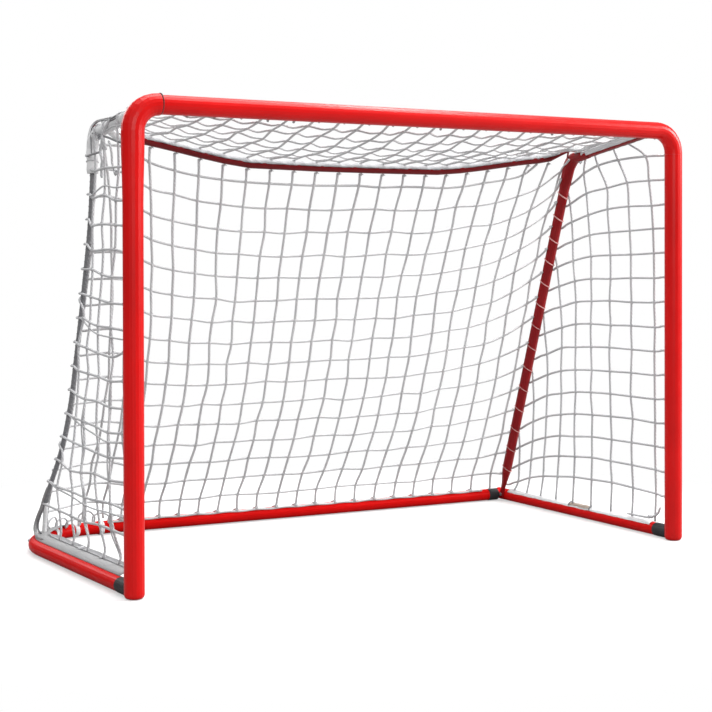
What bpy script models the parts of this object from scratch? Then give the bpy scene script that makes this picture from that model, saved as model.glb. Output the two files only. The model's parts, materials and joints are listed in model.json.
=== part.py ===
# Sports goal for street / ice hockey: a plug-together steel tube frame with a cord net.
#
# Metres, +Z up.  The goal mouth faces -Y, the net pocket is behind it (+Y), left is -X.
# The model is drawn from the goal line (Y = 0 through the post axes, X = 0 half way
# between the posts), and the last step moves everything so that the origin lies on
# the floor in the middle of the footprint.
import math

import bmesh
import bpy
from mathutils import Vector

# ------------------------------------------------------------------ driving dimensions
MOUTH_HEIGHT = 1.220      # floor to the top of the crossbar
POST_SPAN = 1.674         # post axis to post axis
POST_R = 0.0254           # 50.8 mm posts
POST_WALL = 0.0015
BAR_R = 0.02415           # 48.3 mm crossbar
BAR_WALL = 0.0016
ELBOW_R = 0.0290          # swaged left elbow, widest place
ELBOW_WALL = 0.0016
SOCKET_R = 0.0274         # left elbow at its joint
BEND_LEFT = 0.066         # centre line radius of the left elbow
BEND_RIGHT = 0.063        # centre line radius of the right bend
SEAM_X = -0.7680          # joint face between left elbow and crossbar
SEAM_Z = 1.1265           # joint face between right bend and right post
MALE_LEN = 0.085          # length of the swaged male ends
MALE_TAPER = 0.003        # length of the taper at their tips
LEFT_MALE_R = 0.0220
RIGHT_MALE_R = 0.0232

BASE_DEPTH = 0.929        # goal line to the rear base tube axis
BASE_R = 0.01905          # 38.1 mm base tube
BASE_WALL = 0.0016
BASE_Z = 0.0208           # base tube axis above the floor
BASE_FRONT_X = 0.839      # base side tube axis at the goal line
BASE_REAR_X = 0.8676      # base side tube axis at the rear tube
BASE_BEND = 0.262         # centre line radius of the rear left corner
BASE_MID_Y = 0.45         # extra station on the straight left side tube
RIGHT_TUBE_END = BASE_DEPTH + 0.0215   # open rear end of the right side tube
SPIGOT_R = 0.0153         # welded spigots that enter the black couplers
SPIGOT_BORE = 0.0128
COUPLER_R = 0.0197
COUPLER_START = 0.0125    # front collars start here, inside the saddle cut
COUPLER_END = 0.081       # how far the visible front couplers reach from the goal line
COUPLER_INSERT = 0.042    # length of the sleeve beyond the collar
REAR_COUPLER_X = 0.8050   # where the rear right coupler meets the rear tube

SHELF_X = 0.785           # top shelf side bars
SHELF_Y = 0.434           # rear top bar, behind the goal line
SHELF_CORNER = {-1: (-0.785, 0.432, 1.151), 1: (0.794, 0.440, 1.138)}  # top rear corners
SHELF_FRONT_Z = 1.200     # height at which the shelf bars meet the crossbar
SHELF_R = 0.0127          # 25.4 mm shelf bars
SHELF_WALL = 0.0012
UPRIGHT_R = 0.0159        # 31.8 mm right upright
UPRIGHT_WALL = 0.0015
STAY_R = 0.0062           # slim left upright, hidden in its net sleeve
STAY_WALL = 0.0013
# x, y, z of the points the left upright is bent through, from the foot up
STAY_BENDS = (
    (-0.818, 0.737, 0.139), (-0.812, 0.700, 0.205), (-0.805, 0.661, 0.265),
    (-0.799, 0.625, 0.335), (-0.794, 0.583, 0.440), (-0.790, 0.5545, 0.550),
    (-0.786, 0.5135, 0.700), (-0.7845, 0.4675, 0.860), (-0.7848, 0.4455, 0.950),
)
REAR_MID_Z = 1.089        # height of the middle of the rear top bar
# rear top bar, left and right: rise, where it starts, over what length
REAR_RISE = {-1: (0.070, 0.24, 0.54), 1: (0.052, 0.26, 0.52)}

FOOT_Z = 0.0228           # bolt height of the upright feet
RIGHT_FOOT_Y = 0.9000
FOOT_TURN = math.radians(29.0)  # where round the bend the left upright stands
TONGUE = 0.0021           # half thickness of a pinched tube end
TONGUE_W = 0.0118         # half width of the right upright's pinched end
STAY_TONGUE_W = 0.0105    # half width of the left upright's pinched end

GAP = 0.0004              # clearance between touching pieces
FOOT_GAP = {-1: 0.0010, 1: GAP}  # clearance between an upright foot and the base tube
# half height of what lies under the rear bar's ends: shelf bar left, upright elbow right
CORNER_TOP_R = {-1: SHELF_R + 0.0002, 1: 0.0161}

LARGE_FACETS = 20         # facets round a large tube
SMALL_FACETS = 14         # facets round a small tube
HARDWARE_FACETS = 12      # facets round bolts, nuts, buttons and holes
SADDLE_FACETS = 48        # facets round the saddle cutters

HALF = POST_SPAN / 2.0
BAR_Z = MOUTH_HEIGHT - POST_R
BASE_TOP = BASE_Z + BASE_R
SIDES = ((-1, "left"), (1, "right"))

X_AXIS = Vector((1, 0, 0))
Y_AXIS = Vector((0, 1, 0))
Z_AXIS = Vector((0, 0, 1))

# base colour, roughness, metallic
PALETTE = {
    "red": ((0.62, 0.010, 0.010), 0.28, 0.0),
    "dark_red": ((0.36, 0.012, 0.014), 0.38, 0.0),
    "black": ((0.020, 0.020, 0.022), 0.55, 0.0),
    "zinc": ((0.60, 0.60, 0.62), 0.35, 1.0),
    "spring": ((0.45, 0.45, 0.47), 0.30, 1.0),
    "cord": ((0.72, 0.72, 0.70), 0.85, 0.0),
    "hem": ((0.60, 0.60, 0.58), 0.85, 0.0),
}

for old in list(bpy.data.objects):
    bpy.data.objects.remove(old, do_unlink=True)


# ------------------------------------------------------------------ vector and path tools
def vec(x, y, z):
    return Vector((x, y, z))


def lerp(start, end, factor):
    return start + (end - start) * factor


def smooth(factor):
    """Ease in and out between 0 and 1."""
    factor = max(0.0, min(1.0, factor))
    return factor * factor * (3.0 - 2.0 * factor)


def square_to(vector, direction):
    """Unit part of a vector at right angles to a unit direction."""
    return (vector - direction * vector.dot(direction)).normalized()


def fillet(start, corner, end, radius, steps):
    """Path from start to end whose corner is an arc of steps segments."""
    to_start = (start - corner).normalized()
    to_end = (end - corner).normalized()
    angle = math.acos(max(-1.0, min(1.0, to_start.dot(to_end))))
    tangent_len = radius / math.tan(angle / 2.0)
    centre = corner + (to_start + to_end).normalized() * (radius / math.sin(angle / 2.0))
    spoke_in = corner + to_start * tangent_len - centre
    spoke_out = corner + to_end * tangent_len - centre
    sweep = math.pi - angle
    arc = []
    for k in range(steps + 1):
        turn = k / steps * sweep
        weight_in = math.sin(sweep - turn) / math.sin(sweep)
        weight_out = math.sin(turn) / math.sin(sweep)
        arc.append(centre + spoke_in * weight_in + spoke_out * weight_out)
    return [start.copy()] + arc + [end.copy()]


def through(points, before, after, steps):
    """Smooth curve through the points; before and after only set the end directions."""
    knots = [before] + points + [after]
    path = []
    for i in range(1, len(knots) - 2):
        p0, p1, p2, p3 = knots[i - 1:i + 3]
        slope = p2 - p0
        square = p0 * 2.0 - p1 * 5.0 + p2 * 4.0 - p3
        cube = p1 * 3.0 - p0 - p2 * 3.0 + p3
        for k in range(steps):
            f = k / steps
            path.append((p1 * 2.0 + slope * f + square * f * f + cube * f ** 3) * 0.5)
    return path + [points[-1].copy()]


def tangents(path):
    """Unit directions; an inner point takes the bisector of its two segments."""
    legs = [(end - start).normalized() for start, end in zip(path, path[1:])]
    inner = [(before + after).normalized() for before, after in zip(legs, legs[1:])]
    return [legs[0]] + inner + [legs[-1]]


# ------------------------------------------------------------------ rings
# A ring is (centre, tangent, half size along the reference direction, half size across).
def turned(base, direction, profile):
    """Round rings on a straight axis; profile rows are distance along it, radius."""
    return [(base + direction * distance, direction, radius, radius)
            for distance, radius in profile]


def swept(path, size_at):
    """Rings along a path; size_at(distance, total) gives the two half sizes."""
    distances = [0.0]
    for start, end in zip(path, path[1:]):
        distances.append(distances[-1] + (end - start).length)
    return [(point, tangent, *size_at(distance, distances[-1]))
            for point, tangent, distance in zip(path, tangents(path), distances)]


def bend_rings(path, first, last, radius_at):
    """Rings on a fillet's arc, with its end directions given; radius_at takes the index."""
    directions = [first] + tangents(path)[2:-2] + [last]
    return [(point, direction, radius_at(k), radius_at(k))
            for k, (point, direction) in enumerate(zip(path[1:-1], directions))]


def shrunk(rings, wall, above=0.0):
    """The rings one wall further in, leaving out those no larger than above."""
    return [(point, tangent, along - wall, across - wall)
            for point, tangent, along, across in rings if along > above]


# ------------------------------------------------------------------ mesh builders
def make_material(name, slot):
    color, roughness, metallic = PALETTE[slot]
    made = bpy.data.materials.new(name + "_" + slot)
    made.use_nodes = True
    shader = made.node_tree.nodes["Principled BSDF"]
    shader.inputs["Base Color"].default_value = (*color, 1.0)
    shader.inputs["Roughness"].default_value = roughness
    shader.inputs["Metallic"].default_value = metallic
    return made


def finish(name, bm, slot, sharp_angle=35.0):
    """Turn the bmesh into a linked object with its own material."""
    bmesh.ops.recalc_face_normals(bm, faces=bm.faces[:])
    mesh = bpy.data.meshes.new(name)
    bm.to_mesh(mesh)
    bm.free()
    piece = bpy.data.objects.new(name, mesh)
    bpy.context.scene.collection.objects.link(piece)
    mesh.materials.append(make_material(name, slot))
    mesh.shade_smooth()
    mesh.set_sharp_from_angle(angle=math.radians(sharp_angle))
    return piece


def add_ring(bm, ring, ref, facets):
    """Vertices of one closed ring, its corners half a facet off the reference."""
    centre, tangent, half_along, half_across = ring
    along = square_to(ref, tangent)
    across = tangent.cross(along)
    verts = []
    for k in range(facets):
        turn = 2.0 * math.pi * (k + 0.5) / facets
        offset = along * (half_along * math.cos(turn)) + across * (half_across * math.sin(turn))
        verts.append(bm.verts.new(centre + offset))
    return verts


def skin(bm, ring, next_ring):
    count = len(ring)
    for k in range(count):
        j = (k + 1) % count
        bm.faces.new((ring[k], ring[j], next_ring[j], next_ring[k]))


def skin_all(bm, loops):
    for ring, next_ring in zip(loops, loops[1:]):
        skin(bm, ring, next_ring)


def cap_ends(bm, loops):
    bm.faces.new(loops[0][::-1])
    bm.faces.new(loops[-1])


def tube(name, slot, outer, ref, facets, inner=None, closed_start=False):
    """Without inner rings the piece is solid.  With them it is hollow and open at its
    end, and open at its start too unless closed_start is set (a blind bore)."""
    bm = bmesh.new()
    outside = [add_ring(bm, ring, ref, facets) for ring in outer]
    skin_all(bm, outside)
    if inner is None:
        cap_ends(bm, outside)
        return finish(name, bm, slot)
    inside = [add_ring(bm, ring, ref, facets) for ring in inner]
    for ring, next_ring in zip(inside, inside[1:]):
        skin(bm, next_ring, ring)
    skin(bm, outside[-1], inside[-1])
    if closed_start:
        bm.faces.new(outside[0][::-1])
        bm.faces.new(inside[0])
    else:
        skin(bm, inside[0], outside[0])
    return finish(name, bm, slot)


def pipe(name, slot, path, ref, facets, radius, bore=None):
    """Round tube, or solid rod without a bore, of one radius along a path."""
    outer = swept(path, lambda distance, total: (radius, radius))
    inner = None if bore is None else swept(path, lambda distance, total: (bore, bore))
    return tube(name, slot, outer, ref, facets, inner)


def cylinder(name, slot, start, end, radius, facets):
    upright = abs((end - start).normalized().z) >= 0.9
    return pipe(name, slot, [start, end], Y_AXIS if upright else Z_AXIS, facets, radius)


def boolean(target, cutter, operation):
    modifier = target.modifiers.new(operation.lower() + "_" + cutter.name, "BOOLEAN")
    modifier.operation = operation
    modifier.solver = "EXACT"
    modifier.object = cutter
    cutter.hide_render = True
    cutter.display_type = "WIRE"


def hole(targets, name, base, direction, radius, start, end):
    """Round hole through the targets, from start to end along the direction."""
    cutter = cylinder(name, "zinc", base + direction * start, base + direction * end,
                      radius, HARDWARE_FACETS)
    for target in targets:
        boolean(target, cutter, "DIFFERENCE")


def saddle(name, start, end, radius):
    """Cutter whose facets stay clear of a round tube of the given radius."""
    clear_r = (radius + GAP) / math.cos(math.pi / SADDLE_FACETS)
    return cylinder(name, "black", start, end, clear_r, SADDLE_FACETS)


def grid_sheet(name, surface, columns, rows, thickness):
    """A thin closed cord sheet: surface(u, v) gives its middle."""
    step = 1e-3
    bm = bmesh.new()
    top, bottom = [], []
    for j in range(rows + 1):
        top_row, bottom_row = [], []
        for i in range(columns + 1):
            u, v = i / columns, j / rows
            middle = surface(u, v)
            along_u = surface(min(1, u + step), v) - surface(max(0, u - step), v)
            along_v = surface(u, min(1, v + step)) - surface(u, max(0, v - step))
            offset = along_u.cross(along_v).normalized() * thickness / 2
            top_row.append(bm.verts.new(middle + offset))
            bottom_row.append(bm.verts.new(middle - offset))
        top.append(top_row)
        bottom.append(bottom_row)
    for j in range(rows):
        for i in range(columns):
            bm.faces.new((top[j][i], top[j][i + 1], top[j + 1][i + 1], top[j + 1][i]))
            bm.faces.new((bottom[j][i], bottom[j + 1][i],
                          bottom[j + 1][i + 1], bottom[j][i + 1]))
    for i in range(columns):
        bm.faces.new((top[0][i], bottom[0][i], bottom[0][i + 1], top[0][i + 1]))
        bm.faces.new((top[-1][i + 1], bottom[-1][i + 1], bottom[-1][i], top[-1][i]))
    for j in range(rows):
        bm.faces.new((top[j + 1][0], bottom[j + 1][0], bottom[j][0], top[j][0]))
        bm.faces.new((top[j][-1], bottom[j][-1], bottom[j + 1][-1], top[j + 1][-1]))
    return finish(name, bm, "cord", 60)


# ------------------------------------------------------------------ reference geometry
# side is -1 left or +1 right
def base_axis(side, y):
    """Axis point of a base side tube."""
    return vec(side * lerp(BASE_FRONT_X, BASE_REAR_X, y / BASE_DEPTH), y, BASE_Z)


def base_dir(side):
    return (base_axis(side, 1.0) - base_axis(side, 0.0)).normalized()


def shelf_front(side):
    return vec(side * SHELF_X, 0.0, SHELF_FRONT_Z)


def shelf_corner(side):
    return vec(*SHELF_CORNER[side])


def shelf_dir(side):
    """From the top rear corner towards the crossbar."""
    return (shelf_front(side) - shelf_corner(side)).normalized()


def shelf_up(side):
    """Upwards, square to the shelf bar."""
    return square_to(Z_AXIS, shelf_dir(side))


# ------------------------------------------------------------------ front frame
# closed rounded foot of both posts: height, radius
POST_FOOT = [(0.0, 0.0150), (0.0016, 0.0200), (0.0050, 0.0236), (0.0110, POST_R)]


def post_bore_foot(wall):
    """Height and radius of the bore's blind end."""
    return [(0.006, POST_R - 0.006), (0.012, POST_R - wall)]


def build_left_post():
    """Rounded foot, straight tube, swaged elbow, shoulder, male end."""
    foot = vec(-HALF, 0, 0)
    seam = vec(SEAM_X, 0, BAR_Z)
    straight_top = 0.60
    swell_from = BAR_Z - 0.24
    swell_len = 0.17
    profile = POST_FOOT + [(0.30, POST_R), (straight_top, POST_R)]
    for rise in (0.0, 0.06, 0.12):
        profile.append((swell_from + rise, lerp(POST_R, ELBOW_R, smooth(rise / swell_len))))
    path = fillet(foot + Z_AXIS * straight_top, vec(-HALF, 0, BAR_Z),
                  seam + X_AXIS * MALE_LEN, BEND_LEFT, 8)
    body = turned(foot, Z_AXIS, profile)
    body += bend_rings(path, Z_AXIS, X_AXIS,
                       lambda k: lerp(ELBOW_R, SOCKET_R, smooth((k - 3) / 5.0)))
    male_out = [(0.0, SOCKET_R - 0.0004), (0.0006, LEFT_MALE_R),
                (MALE_LEN - MALE_TAPER, LEFT_MALE_R), (MALE_LEN, 0.0208)]
    male_bore = LEFT_MALE_R - ELBOW_WALL
    male_in = [(0.0, 0.0200), (0.0006, male_bore),
               (MALE_LEN - MALE_TAPER, male_bore), (MALE_LEN, 0.0196)]
    outer = body + turned(seam, X_AXIS, male_out)
    inner = turned(foot, Z_AXIS, post_bore_foot(ELBOW_WALL))
    inner += shrunk(body[len(POST_FOOT):], ELBOW_WALL) + turned(seam, X_AXIS, male_in)
    return tube("left_post", "red", outer, Y_AXIS, LARGE_FACETS, inner, closed_start=True)


def build_right_post():
    foot = vec(HALF, 0, 0)
    stations = (0.55, SEAM_Z - 0.0003)
    outer = POST_FOOT + [(z, POST_R) for z in stations]
    inner = post_bore_foot(POST_WALL) + [(z, POST_R - POST_WALL) for z in stations]
    return tube("right_post", "red", turned(foot, Z_AXIS, outer), Y_AXIS, LARGE_FACETS,
                turned(foot, Z_AXIS, inner), closed_start=True)


def build_crossbar():
    """Straight bar, right bend growing to the post's radius, male end pointing down."""
    middle = vec(0, 0, BAR_Z)
    seam = vec(HALF, 0, SEAM_Z)
    path = fillet(middle, vec(HALF, 0, BAR_Z), seam - Z_AXIS * MALE_LEN, BEND_RIGHT, 8)
    body = turned(middle, X_AXIS, [(x, BAR_R) for x in (SEAM_X + 0.0010, -0.30, 0.25, 0.55)])
    body += bend_rings(path, X_AXIS, -Z_AXIS,
                       lambda k: lerp(BAR_R, POST_R, smooth(k / 4.0)))
    male_out = [(0.0, POST_R), (0.0001, RIGHT_MALE_R),
                (MALE_LEN - MALE_TAPER, RIGHT_MALE_R), (MALE_LEN, RIGHT_MALE_R - 0.0012)]
    male_bore = RIGHT_MALE_R - BAR_WALL
    male_in = [(0.0, male_bore), (0.0001, male_bore),
               (MALE_LEN - MALE_TAPER, male_bore), (MALE_LEN, RIGHT_MALE_R - 0.0024)]
    outer = body + turned(seam, -Z_AXIS, male_out)
    inner = shrunk(body, BAR_WALL) + turned(seam, -Z_AXIS, male_in)
    return tube("crossbar", "red", outer, Y_AXIS, LARGE_FACETS, inner)


def weld_spigot(host, name, base, direction, start, end, radius, bore, facets, solid=0.014):
    """Short spigot joined to its host; its bore is open at the free end only."""
    outer = [(start, radius), (end - 0.002, radius), (end, radius - 0.0008)]
    inner = [(start + solid, bore), (end, bore)]
    piece = tube(name, "red", turned(base, direction, outer), Z_AXIS, facets,
                 turned(base, direction, inner), closed_start=True)
    boolean(host, piece, "UNION")


left_post = build_left_post()
right_post = build_right_post()
crossbar = build_crossbar()
posts = {-1: left_post, 1: right_post}
shelf_hosts = {-1: left_post, 1: crossbar}

# on the posts for the base couplers
for side, tag in SIDES:
    weld_spigot(posts[side], "cut_%s_base_spigot" % tag, base_axis(side, 0.0), base_dir(side),
                0.012, 0.122, SPIGOT_R, SPIGOT_BORE, LARGE_FACETS)

# on the front frame for the shelf bars
for side, tag in SIDES:
    weld_spigot(shelf_hosts[side], "cut_%s_shelf_spigot" % tag, shelf_front(side),
                -shelf_dir(side), 0.010, 0.088, 0.0109, 0.0085, SMALL_FACETS, solid=0.026)

# ------------------------------------------------------------------ base frame
left_corner = base_axis(-1, BASE_DEPTH)
right_corner = base_axis(1, BASE_DEPTH)
rear_coupler_len = right_corner.x - REAR_COUPLER_X

# centre line of the left side tube, rounded corner and rear tube
base_path = fillet(base_axis(-1, COUPLER_END + GAP), left_corner,
                   vec(REAR_COUPLER_X - GAP, BASE_DEPTH, BASE_Z), BASE_BEND, 20)
base_path.insert(1, base_axis(-1, BASE_MID_Y))
base_path.insert(-1, vec(0.0, BASE_DEPTH, BASE_Z))


def build_right_base_tube():
    """Right side tube with the spigot that takes the rear coupler."""
    path = [base_axis(1, y) for y in (COUPLER_END + GAP, 0.5, RIGHT_TUBE_END)]
    piece = pipe("base_right_tube", "red", path, Z_AXIS, LARGE_FACETS,
                 BASE_R, BASE_R - BASE_WALL)
    weld_spigot(piece, "cut_rear_spigot", right_corner, -X_AXIS,
                0.0125, 0.108, SPIGOT_R, SPIGOT_BORE, LARGE_FACETS)
    return piece


def build_end_cap():
    """Plug in the open rear end of the right side tube."""
    profile = [(-0.0045, 0.0167), (0.0004, 0.0169), (0.0005, 0.0188),
               (0.0020, 0.0184), (0.0028, 0.0165)]
    rings = turned(base_axis(1, RIGHT_TUBE_END), base_dir(1), profile)
    tube("base_right_end_cap", "black", rings, Z_AXIS, LARGE_FACETS)


def build_coupler(name, base, direction, start, end, cutter):
    """Moulded coupler: visible collar from start to end, insert sleeve beyond it,
    and a saddle where it meets the tube it branches from."""
    insert_r = 0.0170
    bore = 0.0160
    insert_end = end + COUPLER_INSERT
    outer = [(start, COUPLER_R), (end - 0.0012, COUPLER_R), (end, COUPLER_R - 0.0008),
             (end + 0.0001, insert_r), (insert_end, insert_r)]
    inner = [(start, bore), (insert_end, bore)]
    piece = tube(name, "black", turned(base, direction, outer), Z_AXIS, LARGE_FACETS,
                 turned(base, direction, inner))
    boolean(piece, cutter, "DIFFERENCE")
    return piece


base_tubes = {
    -1: pipe("base_left_rear_tube", "red", base_path, Z_AXIS, LARGE_FACETS,
             BASE_R, BASE_R - BASE_WALL),
    1: build_right_base_tube(),
}
build_end_cap()

front_couplers = {}
for side, tag in SIDES:
    post_saddle = saddle("cut_%s_post_saddle" % tag, vec(side * HALF, 0, -0.02),
                         vec(side * HALF, 0, 0.08), POST_R)
    front_couplers[side] = build_coupler("%s_front_coupler" % tag, base_axis(side, 0.0),
                                         base_dir(side), COUPLER_START, COUPLER_END,
                                         post_saddle)
side_saddle = saddle("cut_side_tube_saddle", base_axis(1, BASE_DEPTH - 0.08),
                     base_axis(1, BASE_DEPTH + 0.08), BASE_R)
rear_coupler = build_coupler("rear_right_coupler", right_corner, -X_AXIS,
                             BASE_R + 0.0062, rear_coupler_len, side_saddle)


# ------------------------------------------------------------------ uprights
def foot_points(foot, normal, target, lengths):
    """Pinched end flat against the base tube's flank, then a slight kink at the knee
    towards the target.  Returns the points and the knee."""
    flat_dir = square_to((target - foot).normalized(), normal)
    knee = foot + flat_dir * 0.020
    rise = (target - knee).normalized()
    points = [foot + flat_dir * distance for distance in (-0.012, -0.006, 0.014)]
    return points + [knee + rise * distance for distance in lengths], knee


def pinched(distance, flat_len, blend_len, half_width, radius):
    """Half thickness and half width where a flat end blends into the round tube."""
    blend = smooth((distance - flat_len) / blend_len)
    return lerp(TONGUE, radius, blend), lerp(half_width, radius, blend)


# right upright: pinched foot on the inner flank of the side tube, elbow at the top
right_foot = vec(base_axis(1, RIGHT_FOOT_Y).x - BASE_R - FOOT_GAP[1] - TONGUE,
                 RIGHT_FOOT_Y, FOOT_Z)
right_top = shelf_corner(1)


def right_upright_size(distance, total):
    along, across = pinched(distance, 0.026, 0.095, TONGUE_W, UPRIGHT_R)
    if distance < 0.001:
        across = TONGUE_W * 0.72
    to_end = total - distance
    if to_end < 0.200:
        # the elbow is spread in its own plane and drawn in again at its mouth
        along = lerp(UPRIGHT_R, 0.0150, smooth((0.075 - to_end) / 0.045))
        spread_in = smooth((0.200 - to_end) / 0.075)
        spread_out = smooth((0.105 - to_end) / 0.055)
        across = along + 0.0085 * spread_in * (1.0 - spread_out)
    return along, across


def build_right_upright():
    low, knee = foot_points(right_foot, X_AXIS, right_top,
                            (0.004, 0.018, 0.034, 0.052, 0.074, 0.098))
    rise = (right_top - knee).normalized()
    elbow = fillet(knee, right_top, right_top + shelf_dir(1) * 0.098, 0.062, 7)
    path = low + [lerp(knee, right_top, 0.5)]
    path += [right_top - rise * below for below in (0.135, 0.100, 0.065)] + elbow[1:]
    outer = swept(path, right_upright_size)
    return tube("right_upright", "dark_red", outer, X_AXIS, SMALL_FACETS,
                shrunk(outer, UPRIGHT_WALL, above=0.0095), closed_start=True)


# left upright: slim stay, pinched foot on the inner flank of the rounded corner
left_leg = (base_axis(-1, 0.0) - left_corner).normalized()
bend_centre = left_corner + (left_leg + X_AXIS).normalized() * (
    BASE_BEND / math.sin(left_leg.angle(X_AXIS) / 2.0))
inward = vec(math.cos(FOOT_TURN), -math.sin(FOOT_TURN), 0)
left_foot = bend_centre - inward * (BASE_BEND - BASE_R - FOOT_GAP[-1] - TONGUE)
left_foot.z = FOOT_Z
left_top = shelf_corner(-1)

stay_points = [vec(*point) for point in STAY_BENDS]
stay_low, stay_knee = foot_points(left_foot, inward, stay_points[0],
                                  (0.004, 0.012, 0.024, 0.038))
STAY_PLUG_DROP = 0.050 * math.tan(math.radians(42.0)) + 0.006  # top end below the corner
stay_top = left_top - Z_AXIS * STAY_PLUG_DROP
stay_vertical = left_top - Z_AXIS * 0.105    # the vertical top part is set out from here
sleeve_top = stay_vertical - Z_AXIS * 0.010
stay_middle = through(stay_points, stay_low[-1], sleeve_top, 2) + [sleeve_top]
stay_path = stay_low + stay_middle + [stay_vertical + Z_AXIS * 0.004,
                                      stay_vertical + Z_AXIS * 0.018, stay_top]


def stay_at(z):
    """Point of the left upright's axis at a given height."""
    if z <= stay_path[0].z:
        return stay_path[0].copy()
    for low, high in zip(stay_path, stay_path[1:]):
        if z <= high.z:
            return lerp(low, high, (z - low.z) / (high.z - low.z))
    return vec(stay_path[-1].x, stay_path[-1].y, z)


def left_upright_size(distance, total):
    along, across = pinched(distance, 0.024, 0.035, STAY_TONGUE_W, STAY_R)
    if distance < 0.001:
        across = 0.0075
    # the top swells to fill the bore of the shelf bar
    plug_from = total - ((stay_top - stay_vertical).length - 0.004)
    if distance > plug_from - 0.001:
        along = across = lerp(STAY_R, 0.0108, smooth((distance - plug_from) / 0.013))
    return along, across


def build_left_upright():
    outer = swept(stay_path, left_upright_size)
    return tube("left_upright", "dark_red", outer, inward, SMALL_FACETS,
                shrunk(outer, STAY_WALL, above=0.0050), closed_start=True)


uprights = {1: build_right_upright(), -1: build_left_upright()}

# ------------------------------------------------------------------ top shelf
SHELF_FRONT_GAP = 0.0325   # front end of a shelf bar, behind the crossbar axis
BOLT_BEFORE_CORNER = 0.052 # corner bolt, distance in front of the corner point


def build_shelf_bar(side, tag, path):
    return pipe("%s_shelf_bar" % tag, "dark_red", path, X_AXIS, SMALL_FACETS,
                SHELF_R, SHELF_R - SHELF_WALL)


def right_shelf_path():
    """Straight, from the crossbar spigot into the upright's elbow."""
    front = shelf_front(1) - shelf_dir(1) * SHELF_FRONT_GAP
    rear = right_top + shelf_dir(1) * 0.0385
    return [front, lerp(front, rear, 0.5), rear]


def left_shelf_path():
    """Bent down at the rear so that the left upright plugs in."""
    front = shelf_front(-1) - shelf_dir(-1) * SHELF_FRONT_GAP
    return fillet(front, left_top, left_top - Z_AXIS * 0.098, 0.042, 7)


def corner_bolt_point(side):
    return shelf_corner(side) + shelf_dir(side) * BOLT_BEFORE_CORNER


def rear_bar_point(x):
    """Middle line of the rear top bar: bowed down in the middle, ends on the shelf bars."""
    side = 1 if x > 0 else -1
    reach = abs(x)
    tongue = corner_bolt_point(side) + shelf_up(side) * (CORNER_TOP_R[side] + GAP + TONGUE)
    end_blend = smooth((reach - 0.705) / 0.062)
    rise, rise_from, rise_len = REAR_RISE[side]
    z_main = REAR_MID_Z + rise * smooth((reach - rise_from) / rise_len)
    y_main = SHELF_Y + 0.004 + 0.022 * (1.0 - (reach / SHELF_X) ** 2)
    return vec(x, lerp(y_main, tongue.y, end_blend), lerp(z_main, tongue.z, end_blend))


# distances of the rear bar's rings from X = 0, from the ends inwards
REAR_BAR_STATIONS = [SHELF_X + 0.013, SHELF_X + 0.009, 0.770, 0.752, 0.730, 0.705, 0.675,
                     0.62, 0.55, 0.47, 0.39, 0.31, 0.10]


def rear_bar_rings():
    """Rings of the rear bar, each with its own reference direction added."""
    right_shift = SHELF_CORNER[1][0] - SHELF_X  # the right corner stands further out
    nominal = [-x for x in REAR_BAR_STATIONS] + REAR_BAR_STATIONS[::-1]
    path = [rear_bar_point(x + right_shift if x > 0.70 else x) for x in nominal]
    rings = []
    for x, point, tangent in zip(nominal, path, tangents(path)):
        reach = abs(x)
        roundness = smooth((0.765 - reach) / 0.085)
        along = lerp(0.0120, SHELF_R, roundness)
        if reach > SHELF_X + 0.012:
            along = 0.0085
        if reach >= 0.768:
            tangent = X_AXIS
        # the flattened ends lie along the slope of the shelf bars
        ref = lerp(-shelf_dir(1 if x > 0 else -1), Y_AXIS, roundness)
        rings.append((point, tangent, along, lerp(TONGUE, SHELF_R, roundness), ref))
    return rings


def tilted_solid(name, rings):
    """Solid through rings that carry their own reference direction."""
    bm = bmesh.new()
    loops = [add_ring(bm, ring[:4], ring[4], SMALL_FACETS) for ring in rings]
    skin_all(bm, loops)
    cap_ends(bm, loops)
    return finish(name, bm, "dark_red")


def build_rear_top_bar():
    rings = rear_bar_rings()
    bar = tilted_solid("rear_top_bar", rings)
    # the bore stops before both flattened ends and is vented through the underside
    bore = [(point, tangent, along - SHELF_WALL, across - SHELF_WALL, ref)
            for point, tangent, along, across, ref in rings if across > 0.0085]
    boolean(bar, tilted_solid("cut_rear_bar_bore", bore), "DIFFERENCE")
    hole([bar], "cut_rear_bar_vent", rear_bar_point(0.60), -Z_AXIS, 0.0030, 0.004, 0.020)
    return bar


shelf_bars = {1: build_shelf_bar(1, "right", right_shelf_path()),
              -1: build_shelf_bar(-1, "left", left_shelf_path())}
rear_top_bar = build_rear_top_bar()


# ------------------------------------------------------------------ bolts, nuts and screws
def hex_piece(name, base, direction, ref, rows, ring_shaped):
    """Zinc piece from rows of (distance, radius, hexagonal).  A hexagon is drawn with
    twelve points, so that it joins the round parts."""
    along = square_to(ref, direction)
    across = direction.cross(along)
    bm = bmesh.new()
    loops = []
    for distance, corner_r, hexagonal in rows:
        loop = []
        for k in range(HARDWARE_FACETS):
            turn = 2 * math.pi * k / HARDWARE_FACETS
            radius = corner_r * math.cos(math.pi / 6) if hexagonal and k % 2 else corner_r
            offset = along * (radius * math.cos(turn)) + across * (radius * math.sin(turn))
            loop.append(bm.verts.new(base + direction * distance + offset))
        loops.append(loop)
    skin_all(bm, loops)
    if ring_shaped:
        skin(bm, loops[-1], loops[0])
    else:
        cap_ends(bm, loops)
    return finish(name, bm, "zinc")


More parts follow.
